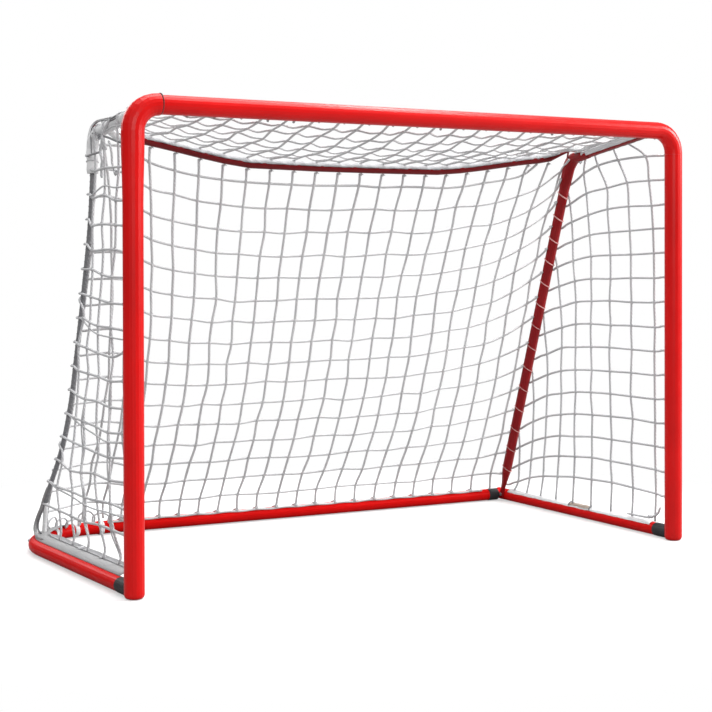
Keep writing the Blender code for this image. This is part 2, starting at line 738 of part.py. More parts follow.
def bolt_and_nut(prefix, head, nut_face, direction, ref, length,
                 shank_r, hex_r, head_height, nut_height):
    """Hex bolt with the underside of its head at head, and a nut with its near face
    at nut_face; both point along direction."""
    bolt_rows = [
        (-head_height, hex_r * 0.88, True), (-head_height * 0.82, hex_r, True),
        (0.0, hex_r, True), (0.0, shank_r, False),
        (length - shank_r * 0.3, shank_r, False), (length, shank_r * 0.7, False),
    ]
    nut_bore = shank_r + 0.0003
    nut_rows = [
        (0.0, hex_r, True), (nut_height * 0.85, hex_r, True), (nut_height, hex_r * 0.9, True),
        (nut_height, nut_bore, False), (0.0, nut_bore, False),
    ]
    hex_piece(prefix + "_bolt", head, direction, ref, bolt_rows, ring_shaped=False)
    hex_piece(prefix + "_nut", nut_face, direction, ref, nut_rows, ring_shaped=True)


def fit_foot_bolt(side, tag, foot, outward):
    """Outwards through the pinched foot of an upright and the base tube."""
    hole([uprights[side], base_tubes[side]], "cut_%s_foot_hole" % tag, foot, outward,
         0.0034, -0.012, 0.055)
    across_tube = FOOT_GAP[side] + 2 * BASE_R
    bolt_and_nut("%s_foot" % tag,
                 head=foot - outward * (TONGUE + GAP),
                 nut_face=foot + outward * (TONGUE + across_tube + GAP),
                 direction=outward, ref=Z_AXIS,
                 length=2 * TONGUE + 2 * GAP + across_tube + 0.0070,
                 shank_r=0.0029, hex_r=0.0056, head_height=0.0036, nut_height=0.0048)


def fit_corner_bolt(side, tag):
    """Down through the rear bar's flattened end and the shelf bar."""
    point, up = corner_bolt_point(side), shelf_up(side)
    top_r = CORNER_TOP_R[side]
    targets = [rear_top_bar, shelf_bars[side]]
    if side > 0:
        targets.append(uprights[side])
    hole(targets, "cut_%s_corner_hole" % tag, point, -up, 0.0029, -0.030, 0.030)
    bolt_and_nut("%s_corner" % tag,
                 head=point + up * (top_r + 2 * GAP + 2 * TONGUE),
                 nut_face=point - up * (top_r + GAP),
                 direction=-up, ref=Y_AXIS,
                 length=2 * top_r + 2 * TONGUE + 3 * GAP + 0.0075,
                 shank_r=0.0024, hex_r=0.0050, head_height=0.0034, nut_height=0.0042)


def fit_shelf_screw(side, tag):
    """Up from below through the shelf bar into its spigot."""
    rearward, down = -shelf_dir(side), -shelf_up(side)
    point = shelf_front(side) + rearward * 0.062
    hole([shelf_bars[side], shelf_hosts[side]], "cut_%s_screw_hole" % tag, point, down,
         0.0026, 0.0045, 0.024)
    # distance below the bar axis, radius
    profile = [(0.0068, 0.0016), (0.0076, 0.0022), (SHELF_R + 0.0003, 0.0022),
               (SHELF_R + 0.0004, 0.0044), (SHELF_R + 0.0016, 0.0042),
               (SHELF_R + 0.0026, 0.0030)]
    tube("%s_shelf_screw" % tag, "zinc", turned(point, down, profile), rearward,
         HARDWARE_FACETS)


fit_foot_bolt(-1, "left", left_foot, -inward)
fit_foot_bolt(1, "right", right_foot, X_AXIS)
for side, tag in SIDES:
    fit_corner_bolt(side, tag)
for side, tag in SIDES:
    fit_shelf_screw(side, tag)

# ------------------------------------------------------------------ snap button joints
BUTTON_PRESS = 0.0043        # stroke of every snap button
BUTTON_STAND = 0.0026        # how far a button stands out of its tube
BUTTON_HEAD_R = 0.0040
BUTTON_FLANGE_R = 0.0062
BUTTON_FLANGE_H = 0.0011
BUTTON_PAST_COLLAR = 0.0225  # from a coupler's collar to the button axis
SPRING_THICK = 0.0007
SPRING_HALF_W = 0.0034


def seat_height(bore, half_width):
    """How far from the axis something of this half width can lie in the bore."""
    return math.sqrt((bore * 0.985) ** 2 - half_width ** 2)


def build_spring(name, base, along, press, bore, flange_top):
    """Folded V spring behind a button, drawn where its free leg lies when the button
    is pushed in."""
    fold_x = -0.018
    low = -(seat_height(bore, SPRING_HALF_W) - 0.0006 - SPRING_THICK / 2)
    high = flange_top - BUTTON_FLANGE_H - BUTTON_PRESS - 0.0005 - SPRING_THICK / 2
    middle, radius = (low + high) / 2, (high - low) / 2
    # middle line: distance along the tube, distance along the press direction
    line = [(0.016, low), (-0.010, low), (fold_x, low + 0.0010)]
    for k in range(1, 6):
        turn = -math.pi / 2 - math.pi * k / 6
        line.append((fold_x + 0.55 * radius * math.cos(turn),
                     middle + radius * 0.96 * math.sin(turn)))
    line += [(fold_x, high - 0.0010), (-0.010, high), (0.005, high)]
    build_strip(name, base, along, press, line, SPRING_THICK, SPRING_HALF_W)


def build_strip(name, base, axis_x, axis_y, line, thickness, half_width):
    """A folded strip: its middle line lies in the plane of the two axes."""
    count = len(line)
    left, right = [], []
    for i, (x, y) in enumerate(line):
        before, after = line[max(i - 1, 0)], line[min(i + 1, count - 1)]
        run_x, run_y = after[0] - before[0], after[1] - before[1]
        scale = thickness / 2 / math.hypot(run_x, run_y)
        left.append((x - run_y * scale, y + run_x * scale))
        right.append((x + run_y * scale, y - run_x * scale))
    outline = left + right[::-1]
    total = len(outline)
    axis_z = axis_x.cross(axis_y)
    bm = bmesh.new()
    edges = [[bm.verts.new(base + axis_x * x + axis_y * y + axis_z * w) for x, y in outline]
             for w in (-half_width, half_width)]
    for i in range(count - 1):
        for edge, turn_over in zip(edges, (False, True)):
            quad = (edge[i], edge[i + 1], edge[total - 2 - i], edge[total - 1 - i])
            bm.faces.new(quad[::-1] if turn_over else quad)
    skin(bm, edges[0], edges[1])
    finish(name, bm, "spring", 60)


def snap_joint(name, base, press, along, bore, tube_r, targets):
    """Sprung push button and its hole: base is on the tube axis, press points outwards."""
    tip = tube_r + BUTTON_STAND
    flange_top = seat_height(bore, BUTTON_FLANGE_R) - 0.0004
    profile = [
        (flange_top - BUTTON_FLANGE_H, BUTTON_FLANGE_R), (flange_top, BUTTON_FLANGE_R),
        (flange_top + 0.0002, BUTTON_HEAD_R), (tip - 0.0022, BUTTON_HEAD_R),
        (tip - 0.0008, BUTTON_HEAD_R * 0.82), (tip, BUTTON_HEAD_R * 0.40),
    ]
    button = tube(name, "zinc", turned(vec(0, 0, 0), press, profile), along, HARDWARE_FACETS)
    button.location = base
    build_spring(name.replace("button", "spring"), base, along, press, bore, flange_top)
    hole(targets, "cut_" + name, base, press, 0.0046, bore * 0.55, tip + 0.006)


snap_joint("left_elbow_button", vec(SEAM_X + 0.052, 0, BAR_Z), Y_AXIS, X_AXIS,
           LEFT_MALE_R - ELBOW_WALL, BAR_R, [left_post, crossbar])
snap_joint("right_post_button", vec(HALF, 0, SEAM_Z - 0.050), Y_AXIS, -Z_AXIS,
           RIGHT_MALE_R - BAR_WALL, POST_R, [crossbar, right_post])
for side, tag in SIDES:
    along = base_dir(side)
    snap_joint("%s_base_button" % tag,
               base_axis(side, 0.0) + along * (COUPLER_END + BUTTON_PAST_COLLAR),
               square_to(X_AXIS, along), along, SPIGOT_BORE, BASE_R,
               [posts[side], front_couplers[side], base_tubes[side]])
snap_joint("rear_base_button", right_corner - X_AXIS * (rear_coupler_len + BUTTON_PAST_COLLAR),
           Y_AXIS, -X_AXIS, SPIGOT_BORE, BASE_R, [base_tubes[1], rear_coupler, base_tubes[-1]])

# ------------------------------------------------------------------ net sleeves
# distance in front of the corner at which each shelf sleeve ends
SLEEVE_REAR_GAP = {1: 0.101, -1: 0.072}

for side, tag in SIDES:
    front = shelf_front(side) - shelf_dir(side) * 0.078
    rear = shelf_corner(side) + shelf_dir(side) * SLEEVE_REAR_GAP[side]
    pipe("%s_shelf_sleeve" % tag, "hem", [front, lerp(front, rear, 0.5), rear], X_AXIS,
         SMALL_FACETS, 0.0145, 0.0132)

stay_rake = (stay_points[0] - stay_knee).normalized()
pipe("left_upright_sleeve", "hem", [stay_knee + stay_rake * 0.055] + stay_middle, inward,
     SMALL_FACETS, STAY_R + 0.0014, STAY_R + 0.0004)

# ------------------------------------------------------------------ net panels
CORD = 0.0016              # thickness of the net sheets
# how far the back net stands off the flat, negative towards the mouth
BACK_SLACK = -0.036        # in the middle
BACK_SLACK_SIDE = 0.055    # added on the right, taken off on the left
BACK_SLACK_BOW = -0.030    # added at both sides


def back_panel(u, v):
    """u from left to right, v from the rear top bar down to the rear base tube."""
    x_top = lerp(-0.735, 0.735, u)
    bar = rear_bar_point(max(-0.66, min(0.66, x_top)))
    top = vec(x_top, bar.y, bar.z - 0.024)
    bottom = vec(lerp(-0.800, 0.800, u), BASE_DEPTH - 0.004, BASE_TOP + 0.022)
    point = lerp(top, bottom, v)
    # it hangs slack into the goal on the left and stands nearly full on the right
    across = 2.0 * u - 1.0
    slack = BACK_SLACK + BACK_SLACK_SIDE * across + BACK_SLACK_BOW * across * across
    sag = slack * math.sin(math.pi * v)
    point += vec(0, sag * 0.92, sag * 0.39)
    # the left edge is drawn forward to the left upright
    pull = (1.0 - min(1.0, u / 0.36)) ** 2
    stay = stay_at(point.z)
    return vec(lerp(point.x, stay.x + 0.017, pull), lerp(point.y, stay.y + 0.016, pull), point.z)


def right_panel_rear(v):
    rise = (right_top - right_foot).normalized()
    top = right_top - rise * 0.105 + vec(0, -0.030, 0)
    bottom = right_foot + rise * 0.060 + vec(0, -0.028, 0)
    return lerp(top, bottom, v)


def left_panel_rear(v):
    z = lerp(1.035, 0.078, v)
    stay = stay_at(z)
    return vec(stay.x - 0.004, stay.y - 0.017, z)


def side_panel(side, rear_edge):
    def surface(u, v):
        """u from the post to the upright, v from the shelf bar down."""
        front = vec(side * (HALF - 0.006 * (1.0 - v)), 0.040, lerp(1.135, 0.070, v))
        bulge = 0.016 * math.sin(math.pi * u) * math.sin(math.pi * v)
        return lerp(front, rear_edge(v), u) + vec(side * bulge, 0, 0)
    return surface


def top_panel(u, v):
    """u from left to right, v from the crossbar to the rear top bar."""
    x = lerp(-0.745, 0.745, u)
    bar = rear_bar_point(max(-0.64, min(0.64, x)))
    front = vec(x, 0.045, 1.192)
    rear = vec(x * 0.90, bar.y - 0.030, bar.z + 0.002)
    sag = 0.016 * 4 * u * (1 - u) * math.sin(math.pi * v)
    return lerp(front, rear, v) - vec(0, 0, sag)


grid_sheet("net_back", back_panel, 10, 6, CORD)
grid_sheet("net_left_side", side_panel(-1, left_panel_rear), 4, 6, CORD)
grid_sheet("net_right_side", side_panel(1, right_panel_rear), 4, 6, CORD)
grid_sheet("net_top", top_panel, 10, 4, CORD)

# ------------------------------------------------------------------ hems and straps
LEFT_HEM_R = 0.0080
REAR_HEM_R = 0.0042
RIGHT_HEM_R = 0.0050
SIDE_HEM_GAP = 0.0008      # side hems above the base tubes
REAR_HEM_GAP = 0.0022      # rear hem above the rear tube
STRAP_XS = (-0.750, -0.673, -0.588)
STRAP_HALF_W = 0.0072


def build_left_hem():
    """Along the left side tube and half way round the rounded corner."""
    path = fillet(base_axis(-1, 0.050), left_corner, vec(-0.50, BASE_DEPTH, BASE_Z),
                  BASE_BEND, 10)[:7]
    path.insert(1, base_axis(-1, BASE_MID_Y))
    for point in path:
        point.z = BASE_TOP + SIDE_HEM_GAP + LEFT_HEM_R
    pipe("left_base_hem", "hem", path, Z_AXIS, 12, LEFT_HEM_R)


def build_rear_hem():
    path = [vec(x, BASE_DEPTH, BASE_TOP + REAR_HEM_GAP + REAR_HEM_R)
            for x in (-0.600, 0.0, 0.790)]
    pipe("rear_base_hem", "hem", path, Z_AXIS, 10, REAR_HEM_R)


def build_right_hem():
    front, rear = base_axis(1, 0.090), base_axis(1, 0.855)
    front.z = rear.z = BASE_TOP + SIDE_HEM_GAP + RIGHT_HEM_R
    pipe("right_base_hem", "hem", [front, lerp(front, rear, 0.5), rear], Z_AXIS, 10,
         RIGHT_HEM_R)


def build_strap(name, x):
    """Band round the left rear base tube, set square to it where it lies."""
    start, end = next((start, end) for start, end in zip(base_path, base_path[1:])
                      if start.x < x <= end.x)
    centre = lerp(start, end, (x - start.x) / (end.x - start.x))
    half = (end - start).normalized() * STRAP_HALF_W
    pipe(name, "hem", [centre - half, centre + half], Z_AXIS, LARGE_FACETS, 0.0206, 0.0197)


build_left_hem()
build_rear_hem()
build_right_hem()
for k, x in enumerate(STRAP_XS):
    build_strap("rear_strap_%d" % (k + 1), x)


# ------------------------------------------------------------------ origin
def centre_on_floor():
    """Move everything so that the origin is on the floor, mid footprint."""
    bpy.context.view_layer.update()
    depsgraph = bpy.context.evaluated_depsgraph_get()
    corners = [piece.matrix_world @ Vector(corner)
               for piece in bpy.data.objects if not piece.hide_render
               for corner in piece.evaluated_get(depsgraph).bound_box]
    low = [min(values) for values in zip(*corners)]
    high = [max(values) for values in zip(*corners)]
    shift = vec(-(low[0] + high[0]) / 2, -(low[1] + high[1]) / 2, -low[2])
    for piece in bpy.data.objects:
        piece.location = piece.location + shift


centre_on_floor()
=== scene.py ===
"""A small goal: a red tube frame hung with a back net, two side nets and a top net.

X runs along the goal line (left is -X), +Y from the front to the back, Z up from the floor.
Shapes are worked out with X = 0 midway between the posts and Y = 0 through the posts. SHIFT then
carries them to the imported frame, which has its origin in the middle of the footprint.
"""
import bpy
import json
import math
import numpy as np
from mathutils import Matrix, Vector


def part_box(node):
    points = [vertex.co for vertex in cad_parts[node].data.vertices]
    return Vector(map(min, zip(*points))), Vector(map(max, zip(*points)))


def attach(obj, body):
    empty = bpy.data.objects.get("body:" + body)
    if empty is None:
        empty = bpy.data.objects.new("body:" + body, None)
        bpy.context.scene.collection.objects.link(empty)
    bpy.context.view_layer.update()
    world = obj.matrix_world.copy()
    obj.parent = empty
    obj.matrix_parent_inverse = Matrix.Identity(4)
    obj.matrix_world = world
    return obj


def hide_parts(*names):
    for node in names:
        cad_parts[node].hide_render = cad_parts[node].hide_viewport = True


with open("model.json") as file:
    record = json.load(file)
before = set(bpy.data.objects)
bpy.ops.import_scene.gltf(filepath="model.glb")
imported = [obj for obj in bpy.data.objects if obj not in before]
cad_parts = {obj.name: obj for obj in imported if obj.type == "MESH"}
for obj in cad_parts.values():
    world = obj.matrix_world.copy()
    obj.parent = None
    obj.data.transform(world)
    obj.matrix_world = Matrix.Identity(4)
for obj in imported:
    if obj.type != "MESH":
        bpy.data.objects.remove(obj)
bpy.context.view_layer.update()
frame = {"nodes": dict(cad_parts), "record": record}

scene = bpy.context.scene
rng = np.random.default_rng(11)

# ---------------------------------------------------------------- driving sizes (metres)
HALF_WIDTH = 0.837         # goal centre to the axis of a post
POST_R = 0.0254
FIRST_CORD_X = -0.6146     # cord 0 of the back and top nets
PITCH = 0.0736             # mesh of the back and top nets
SIDE_PITCH = 0.1032        # mesh of the right side net, front to back
NET_R = 0.0037             # cords of the back and right nets
THIN_NET_R = 0.0034        # cords of the left and top nets
BASE_DEPTH = 0.929         # goal line to the axis of the rear base tube
BASE_Z = 0.0208
BASE_R = 0.01905
BASE_TOP = BASE_Z + BASE_R
HEM_IN = 0.0415            # base tube axis inwards to the piping of the left hem

post_lo, post_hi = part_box("right_post")
SHIFT = np.array([(post_lo.x + post_hi.x) / 2 - HALF_WIDTH,
                  post_lo.y + POST_R * math.cos(math.pi / 20), 0.0])


# ---------------------------------------------------------------- small maths
def vec(*c):
    return np.array(c, float)


X_AXIS, Y_AXIS, UP = vec(1, 0, 0), vec(0, 1, 0), vec(0, 0, 1)
BACK_NORMAL = vec(0, 0.91, 0.41)
TOP_NORMAL = vec(0, 0.2, 1)


def unit(v):
    v = np.asarray(v, float)
    return v / max(1e-12, np.linalg.norm(v))


def lerp(a, b, t):
    return a + (b - a) * t


def clamp(value, low=0.0, high=1.0):
    return min(high, max(low, value))


def smooth(t):
    t = clamp(t)
    return t * t * (3 - 2 * t)


def bulge(t):
    """0 at both ends, 1 halfway."""
    return math.sin(math.pi * clamp(t))


def poly(t, *coefficients):
    """Polynomial in t, constant term first."""
    return sum(c * t ** i for i, c in enumerate(coefficients))


def catmull(points, steps=4):
    """Smooth curve through the points, with this many steps a span."""
    points = np.asarray(points, float)
    if len(points) < 3:
        t = np.linspace(0, 1, steps + 1)[:, None]
        return points[0] + (points[-1] - points[0]) * t
    held = np.vstack([2 * points[0] - points[1], points, 2 * points[-1] - points[-2]])
    out = []
    for p0, p1, p2, p3 in zip(held, held[1:], held[2:], held[3:]):
        for k in range(steps):
            t = k / steps
            out.append(0.5 * (2 * p1 + (p2 - p0) * t + (2 * p0 - 5 * p1 + 4 * p2 - p3) * t * t
                              + (3 * p1 - p0 - 3 * p2 + p3) * t ** 3))
    out.append(points[-1])
    return np.array(out)


# ---------------------------------------------------------------- centre lines of the tubes (x, y, z)
LEFT_UPRIGHT = np.array([
    (-0.811, 0.7754, 0.0451), (-0.8124, 0.7678, 0.0636), (-0.8133, 0.7625, 0.0765),
    (-0.818, 0.737, 0.139), (-0.8157, 0.7193, 0.1722), (-0.812, 0.700, 0.205),
    (-0.8085, 0.6804, 0.2347), (-0.805, 0.661, 0.265), (-0.8019, 0.6432, 0.2972),
    (-0.799, 0.625, 0.335), (-0.7964, 0.6035, 0.385), (-0.794, 0.583, 0.440),
    (-0.7919, 0.5687, 0.4922), (-0.790, 0.5545, 0.550), (-0.7878, 0.5351, 0.6219),
    (-0.786, 0.5135, 0.700), (-0.785, 0.4893, 0.7837), (-0.7845, 0.4675, 0.860),
    (-0.7845, 0.4545, 0.9096), (-0.7848, 0.4455, 0.950), (-0.785, 0.432, 1.036),
    (-0.785, 0.432, 1.150)])
RIGHT_UPRIGHT = np.array([
    (0.8452, 0.8947, 0.0357), (0.8409, 0.855, 0.1318), (0.8196, 0.6662, 0.5896),
    (0.7968, 0.4648, 1.078), (0.7951, 0.4494, 1.1135), (0.794, 0.440, 1.138)])
REAR_BAR = np.array([
    (-0.785, 0.3850, 1.1710), (-0.752, 0.3906, 1.1701), (-0.73, 0.42, 1.1626),
    (-0.705, 0.4423, 1.1553), (-0.675, 0.4437, 1.1521), (-0.62, 0.4463, 1.1442),
    (-0.55, 0.4492, 1.1317), (-0.47, 0.4521, 1.1163), (-0.39, 0.4546, 1.1022),
    (-0.31, 0.4566, 1.0922), (-0.1, 0.4596, 1.089), (0.1, 0.4596, 1.089),
    (0.31, 0.4566, 1.0903), (0.39, 0.4546, 1.0971), (0.47, 0.4521, 1.1076),
    (0.55, 0.4492, 1.1195), (0.62, 0.4463, 1.1293), (0.675, 0.4437, 1.1355),
    (0.714, 0.4389, 1.1401), (0.739, 0.4122, 1.1536), (0.779, 0.3911, 1.1637)])
LEFT_SHELF = np.array([
    (-0.785, 0.0323, 1.1963), (-0.785, 0.3947, 1.1552), (-0.785, 0.4112, 1.1497),
    (-0.785, 0.4241, 1.1381), (-0.785, 0.4311, 1.1222), (-0.785, 0.432, 1.1135),
    (-0.785, 0.432, 1.053)])
RIGHT_SHELF = np.array([
    (0.7857, 0.0322, 1.1955), (0.7894, 0.217, 1.1694), (0.7932, 0.4019, 1.1434)])

# the rounded rear left corner of the base
CORNER_CENTRE = vec(-0.5974, 0.667, BASE_Z)
CORNER_R = 0.262


def on_line(points, axis, value):
    """Point of a polyline whose coordinate on that axis has this value; the ends are held."""
    along = points[:, axis]
    order = np.argsort(along)
    return np.array([np.interp(value, along[order], points[order, k]) for k in range(3)])


def left_upright(z):
    return on_line(LEFT_UPRIGHT, 2, z)


def right_upright(z):
    return on_line(RIGHT_UPRIGHT, 2, z)


def rear_bar(x):
    return on_line(REAR_BAR, 0, x)


def base_side(side, y):
    """Axis of a side base tube; side is -1 for left, 1 for right."""
    return vec(side * lerp(0.839, 0.8676, y / BASE_DEPTH), y, BASE_Z)


def base_left(distance):
    """Point and direction on the left and rear base tube, by distance from its front end."""
    front = base_side(-1, 0.0)
    along = unit(base_side(-1, 0.6) - front)
    outward = vec(-along[1], along[0], 0)
    straight = float((CORNER_CENTRE + outward * CORNER_R - front) @ along)
    if distance <= straight:
        return front + along * distance, along
    turn = math.atan2(along[1], along[0])      # the direction turns from here to +X
    turned = (distance - straight) / CORNER_R
    if turned < turn:
        heading = turn - turned
        way = vec(math.cos(heading), math.sin(heading), 0)
        return CORNER_CENTRE + vec(-way[1], way[0], 0) * CORNER_R, way
    rest = distance - straight - turn * CORNER_R
    return CORNER_CENTRE + vec(0, CORNER_R, 0) + vec(rest, 0, 0), X_AXIS


def base_left_at_x(x):
    """Distance along that line where its rear part reaches this X, by bisection."""
    low, high = 0.7, 3.0
    for _ in range(40):
        middle = (low + high) / 2
        if base_left(middle)[0][0] < x:
            low = middle
        else:
            high = middle
    return low


def inward(direction):
    """Level direction into the goal, square to the left and rear base tube."""
    return vec(direction[1], -direction[0], 0)


def cord_x(cord):
    """Top X of an upright cord of the back net; the top net and ties share the spacing."""
    return FIRST_CORD_X + PITCH * cord


# ---------------------------------------------------------------- mesh makers
def add_mesh(name, verts, faces, uvs, material, replaces=None):
    mesh = bpy.data.meshes.new(name)
    mesh.from_pydata(verts.tolist(), [], faces)
    layer = mesh.uv_layers.new(name="UVMap")
    layer.data.foreach_set("uv", np.array(uvs, np.float32).ravel())
    mesh.polygons.foreach_set("use_smooth", [True] * len(mesh.polygons))
    mesh.materials.append(material)
    mesh.update()
    ob = bpy.data.objects.new(name, mesh)
    scene.collection.objects.link(ob)
    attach(ob, "frame")
    if replaces:
        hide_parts(replaces)


class Cords:
    """Collects swept cords into one mesh; UV is (round the cord, metres along it)."""

    def __init__(self):
        self.verts, self.faces, self.uvs, self.count = [], [], [], 0

    def sweep(self, path, radius, sides=6, ref=UP, closed=False, flat=1.0, taper=False):
        """Tube along a path; flat scales its section in the direction of ref."""
        path = np.asarray(path, float)
        m = len(path)
        if closed:
            tangent = np.roll(path, -1, 0) - np.roll(path, 1, 0)
        else:
            tangent = np.gradient(path, axis=0)
        tangent /= np.maximum(1e-9, np.linalg.norm(tangent, axis=1))[:, None]

        def across(direction):
            return direction - tangent * np.sum(direction * tangent, 1)[:, None]

        ref = np.asarray(ref, float)
        if ref.ndim == 1:
            ref = np.tile(ref, (m, 1))
        u = across(ref)
        # where the path runs along ref, another direction stands in
        bad = np.linalg.norm(u, axis=1) < 0.05
        if bad.any():
            u[bad] = across(np.tile(vec(0.31, 0.85, 0.42), (m, 1)))[bad]
        u /= np.linalg.norm(u, axis=1)[:, None]
        w = np.cross(tangent, u)
        radii = np.broadcast_to(np.asarray(radius, float), (m,)).copy()
        if taper:
            radii[[0, -1]] *= 0.55
        angle = 2 * math.pi * np.arange(sides) / sides
        rings = u[:, None, :] * np.cos(angle)[None, :, None] * flat
        rings = rings + w[:, None, :] * np.sin(angle)[None, :, None]
        rings = rings * radii[:, None, None] + path[:, None, :]
        self.verts.append(rings.reshape(-1, 3) + SHIFT)

        spans = np.linalg.norm(np.diff(path, axis=0), axis=1)
        run = np.concatenate([[0], np.cumsum(spans)])
        total = run[-1] + (np.linalg.norm(path[0] - path[-1]) if closed else 0)
        start = self.count
        for i in range(m if closed else m - 1):
            j = (i + 1) % m
            a, b = start + i * sides, start + j * sides
            run_end = run[j] if j else total
            for k in range(sides):
                k2 = (k + 1) % sides
                self.faces.append((a + k, a + k2, b + k2, b + k))
                self.uvs += [(k / sides, run[i]), ((k + 1) / sides, run[i]),
                             ((k + 1) / sides, run_end), (k / sides, run_end)]
        if not closed:
            self.faces.append(tuple(start + k for k in reversed(range(sides))))
            self.faces.append(tuple(start + (m - 1) * sides + k for k in range(sides)))
            self.uvs += [(0.5, 0.0)] * (2 * sides)
        self.count += m * sides

    def net_cord(self, points, radius, ref, offset=0.0, steps=4):
        self.sweep(catmull(points, steps) + offset, radius, 6, ref)

    def loose(self, points, steps, radius, sides=7, ref=UP, flat=1.0):
        """A smoothed cord, tapered at both ends."""
        self.sweep(catmull(points, steps), radius, sides, ref, flat=flat, taper=True)

    def knot(self, place, normal, size=0.00135, radius=0.0021):
        """A small overhand knot, turned and sized at random."""
        normal = unit(normal)
        a = unit(np.cross(normal, vec(0.2, 0.3, 0.93)))
        b = np.cross(normal, a)
        turn = rng.uniform(0, 2 * math.pi)
        cos, sin = math.cos(turn), math.sin(turn)
        a, b = a * cos + b * sin, b * cos - a * sin
        t = np.linspace(0, 2 * math.pi, 17, endpoint=False)[:, None]
        x = np.sin(t) + 2 * np.sin(2 * t)
        y = np.cos(t) - 2 * np.cos(2 * t)
        z = -np.sin(3 * t)
        path = place + (a * x + b * y + normal * z * 1.5) * (size * rng.uniform(0.88, 1.15))
        self.sweep(path, radius, 5, normal, closed=True)

    def ring(self, centre, axis, ring_radius, radius, sides=5, points=18, tilt=0.0):
        """A closed turn of cord."""
        axis = unit(axis)
        a = unit(np.cross(axis, vec(0.05, 0.1, 1) if abs(axis[2]) < 0.9 else Y_AXIS))
        b = np.cross(axis, a)
        t = np.linspace(0, 2 * math.pi, points, endpoint=False)[:, None]
        path = (centre + a * np.cos(t) * ring_radius + b * np.sin(t) * ring_radius
                + axis * np.sin(t + 0.6) * tilt)
        self.sweep(path, radius, sides, axis, closed=True)

    def build(self, name, material, replaces=None):
        add_mesh(name, np.concatenate(self.verts), self.faces, self.uvs, MAT[material],
                 replaces)


def wrap_cloth(name, path, radius, angles, ref, material, replaces=None, *, thick, wrinkle,
               steps=3, cols=14, edge_wave=1.0):
    """Cloth round a tube between two angles (degrees) about the path; ref is angle 0."""
    path = catmull(path, steps)
    m = len(path)
    tangent = np.gradient(path, axis=0)
    tangent /= np.linalg.norm(tangent, axis=1)[:, None]
    spans = np.linalg.norm(np.diff(path, axis=0), axis=1)
    run = np.concatenate([[0], np.cumsum(spans)])
    u = ref - tangent * (tangent @ ref)[:, None]
    u /= np.linalg.norm(u, axis=1)[:, None]
    w = np.cross(tangent, u)
    a0, a1 = (math.radians(a) for a in angles)
    verts, faces, uvs = [], [], []
    for outer in (True, False):
        for i, s in enumerate(run):
            end_thick = thick * (0.5 if i in (0, m - 1) else 1.0)
            edge = (0.020 * math.sin(s * 83 + 1.3) + 0.010 * math.sin(s * 211)) * edge_wave
            for k in range(cols + 1):
                q = k / cols
                angle = lerp(a0 + edge, a1 - edge, q)
                r = radius + wrinkle * (math.sin(s * 170 + 3 * q)
                                        + 0.7 * math.sin(s * 67 + 9 * q))
                if outer:
                    r += end_thick * (1 - (2 * q - 1) ** 6)
                verts.append(path[i] + SHIFT + u[i] * math.cos(angle) * r
                             + w[i] * math.sin(angle) * r)
    ring = cols + 1
    off = m * ring                             # first vertex of the inner layer
    for i in range(m - 1):
        for k in range(cols):
            a = i * ring + k
            d = a + ring
            ua, ub = k / cols, (k + 1) / cols
            faces += [(a, a + 1, d + 1, d), (off + a, off + d, off + d + 1, off + a + 1)]
            uvs += [(ua, run[i]), (ub, run[i]), (ub, run[i + 1]), (ua, run[i + 1]),
                    (ua, run[i]), (ua, run[i + 1]), (ub, run[i + 1]), (ub, run[i])]
    for first, flip in ((0, False), ((m - 1) * ring, True)):
        for k in range(first, first + cols):
            quad = (k, k + 1, off + k + 1, off + k)
            faces.append(quad[::-1] if not flip else quad)
            uvs += [(0.2, 0.001)] * 4
    faces_at_edges = ((0, False), (cols, True))
    for k, keep in faces_at_edges:
        for i in range(m - 1):
            a = i * ring + k
            quad = (a, a + ring, off + a + ring, off + a)
            faces.append(quad if keep is False else quad[::-1])
            uvs += [(0.1, 0.002)] * 4
    # the start cap and the far edge strip face the other way from their partners
    caps = len(faces) - 2 * cols - 2 * (m - 1)
    for n in range(caps, len(faces)):
        at_start_cap = n < caps + cols
        at_end_cap = caps + cols <= n < caps + 2 * cols
        at_first_edge = caps + 2 * cols <= n < caps + 2 * cols + m - 1
        quad = faces[n]
        if at_start_cap or at_end_cap:
            faces[n] = quad[::-1]
        elif at_first_edge:
            faces[n] = quad
    for n in range(caps, caps + 2 * cols):
        faces[n] = faces[n][::-1]
    for n in range(caps, caps + cols):
        faces[n] = faces[n][::-1]
    for n in range(caps, caps + cols):
        faces[n] = faces[n][::-1]
    add_mesh(name, np.array(verts), faces, uvs, MAT[material], replaces)


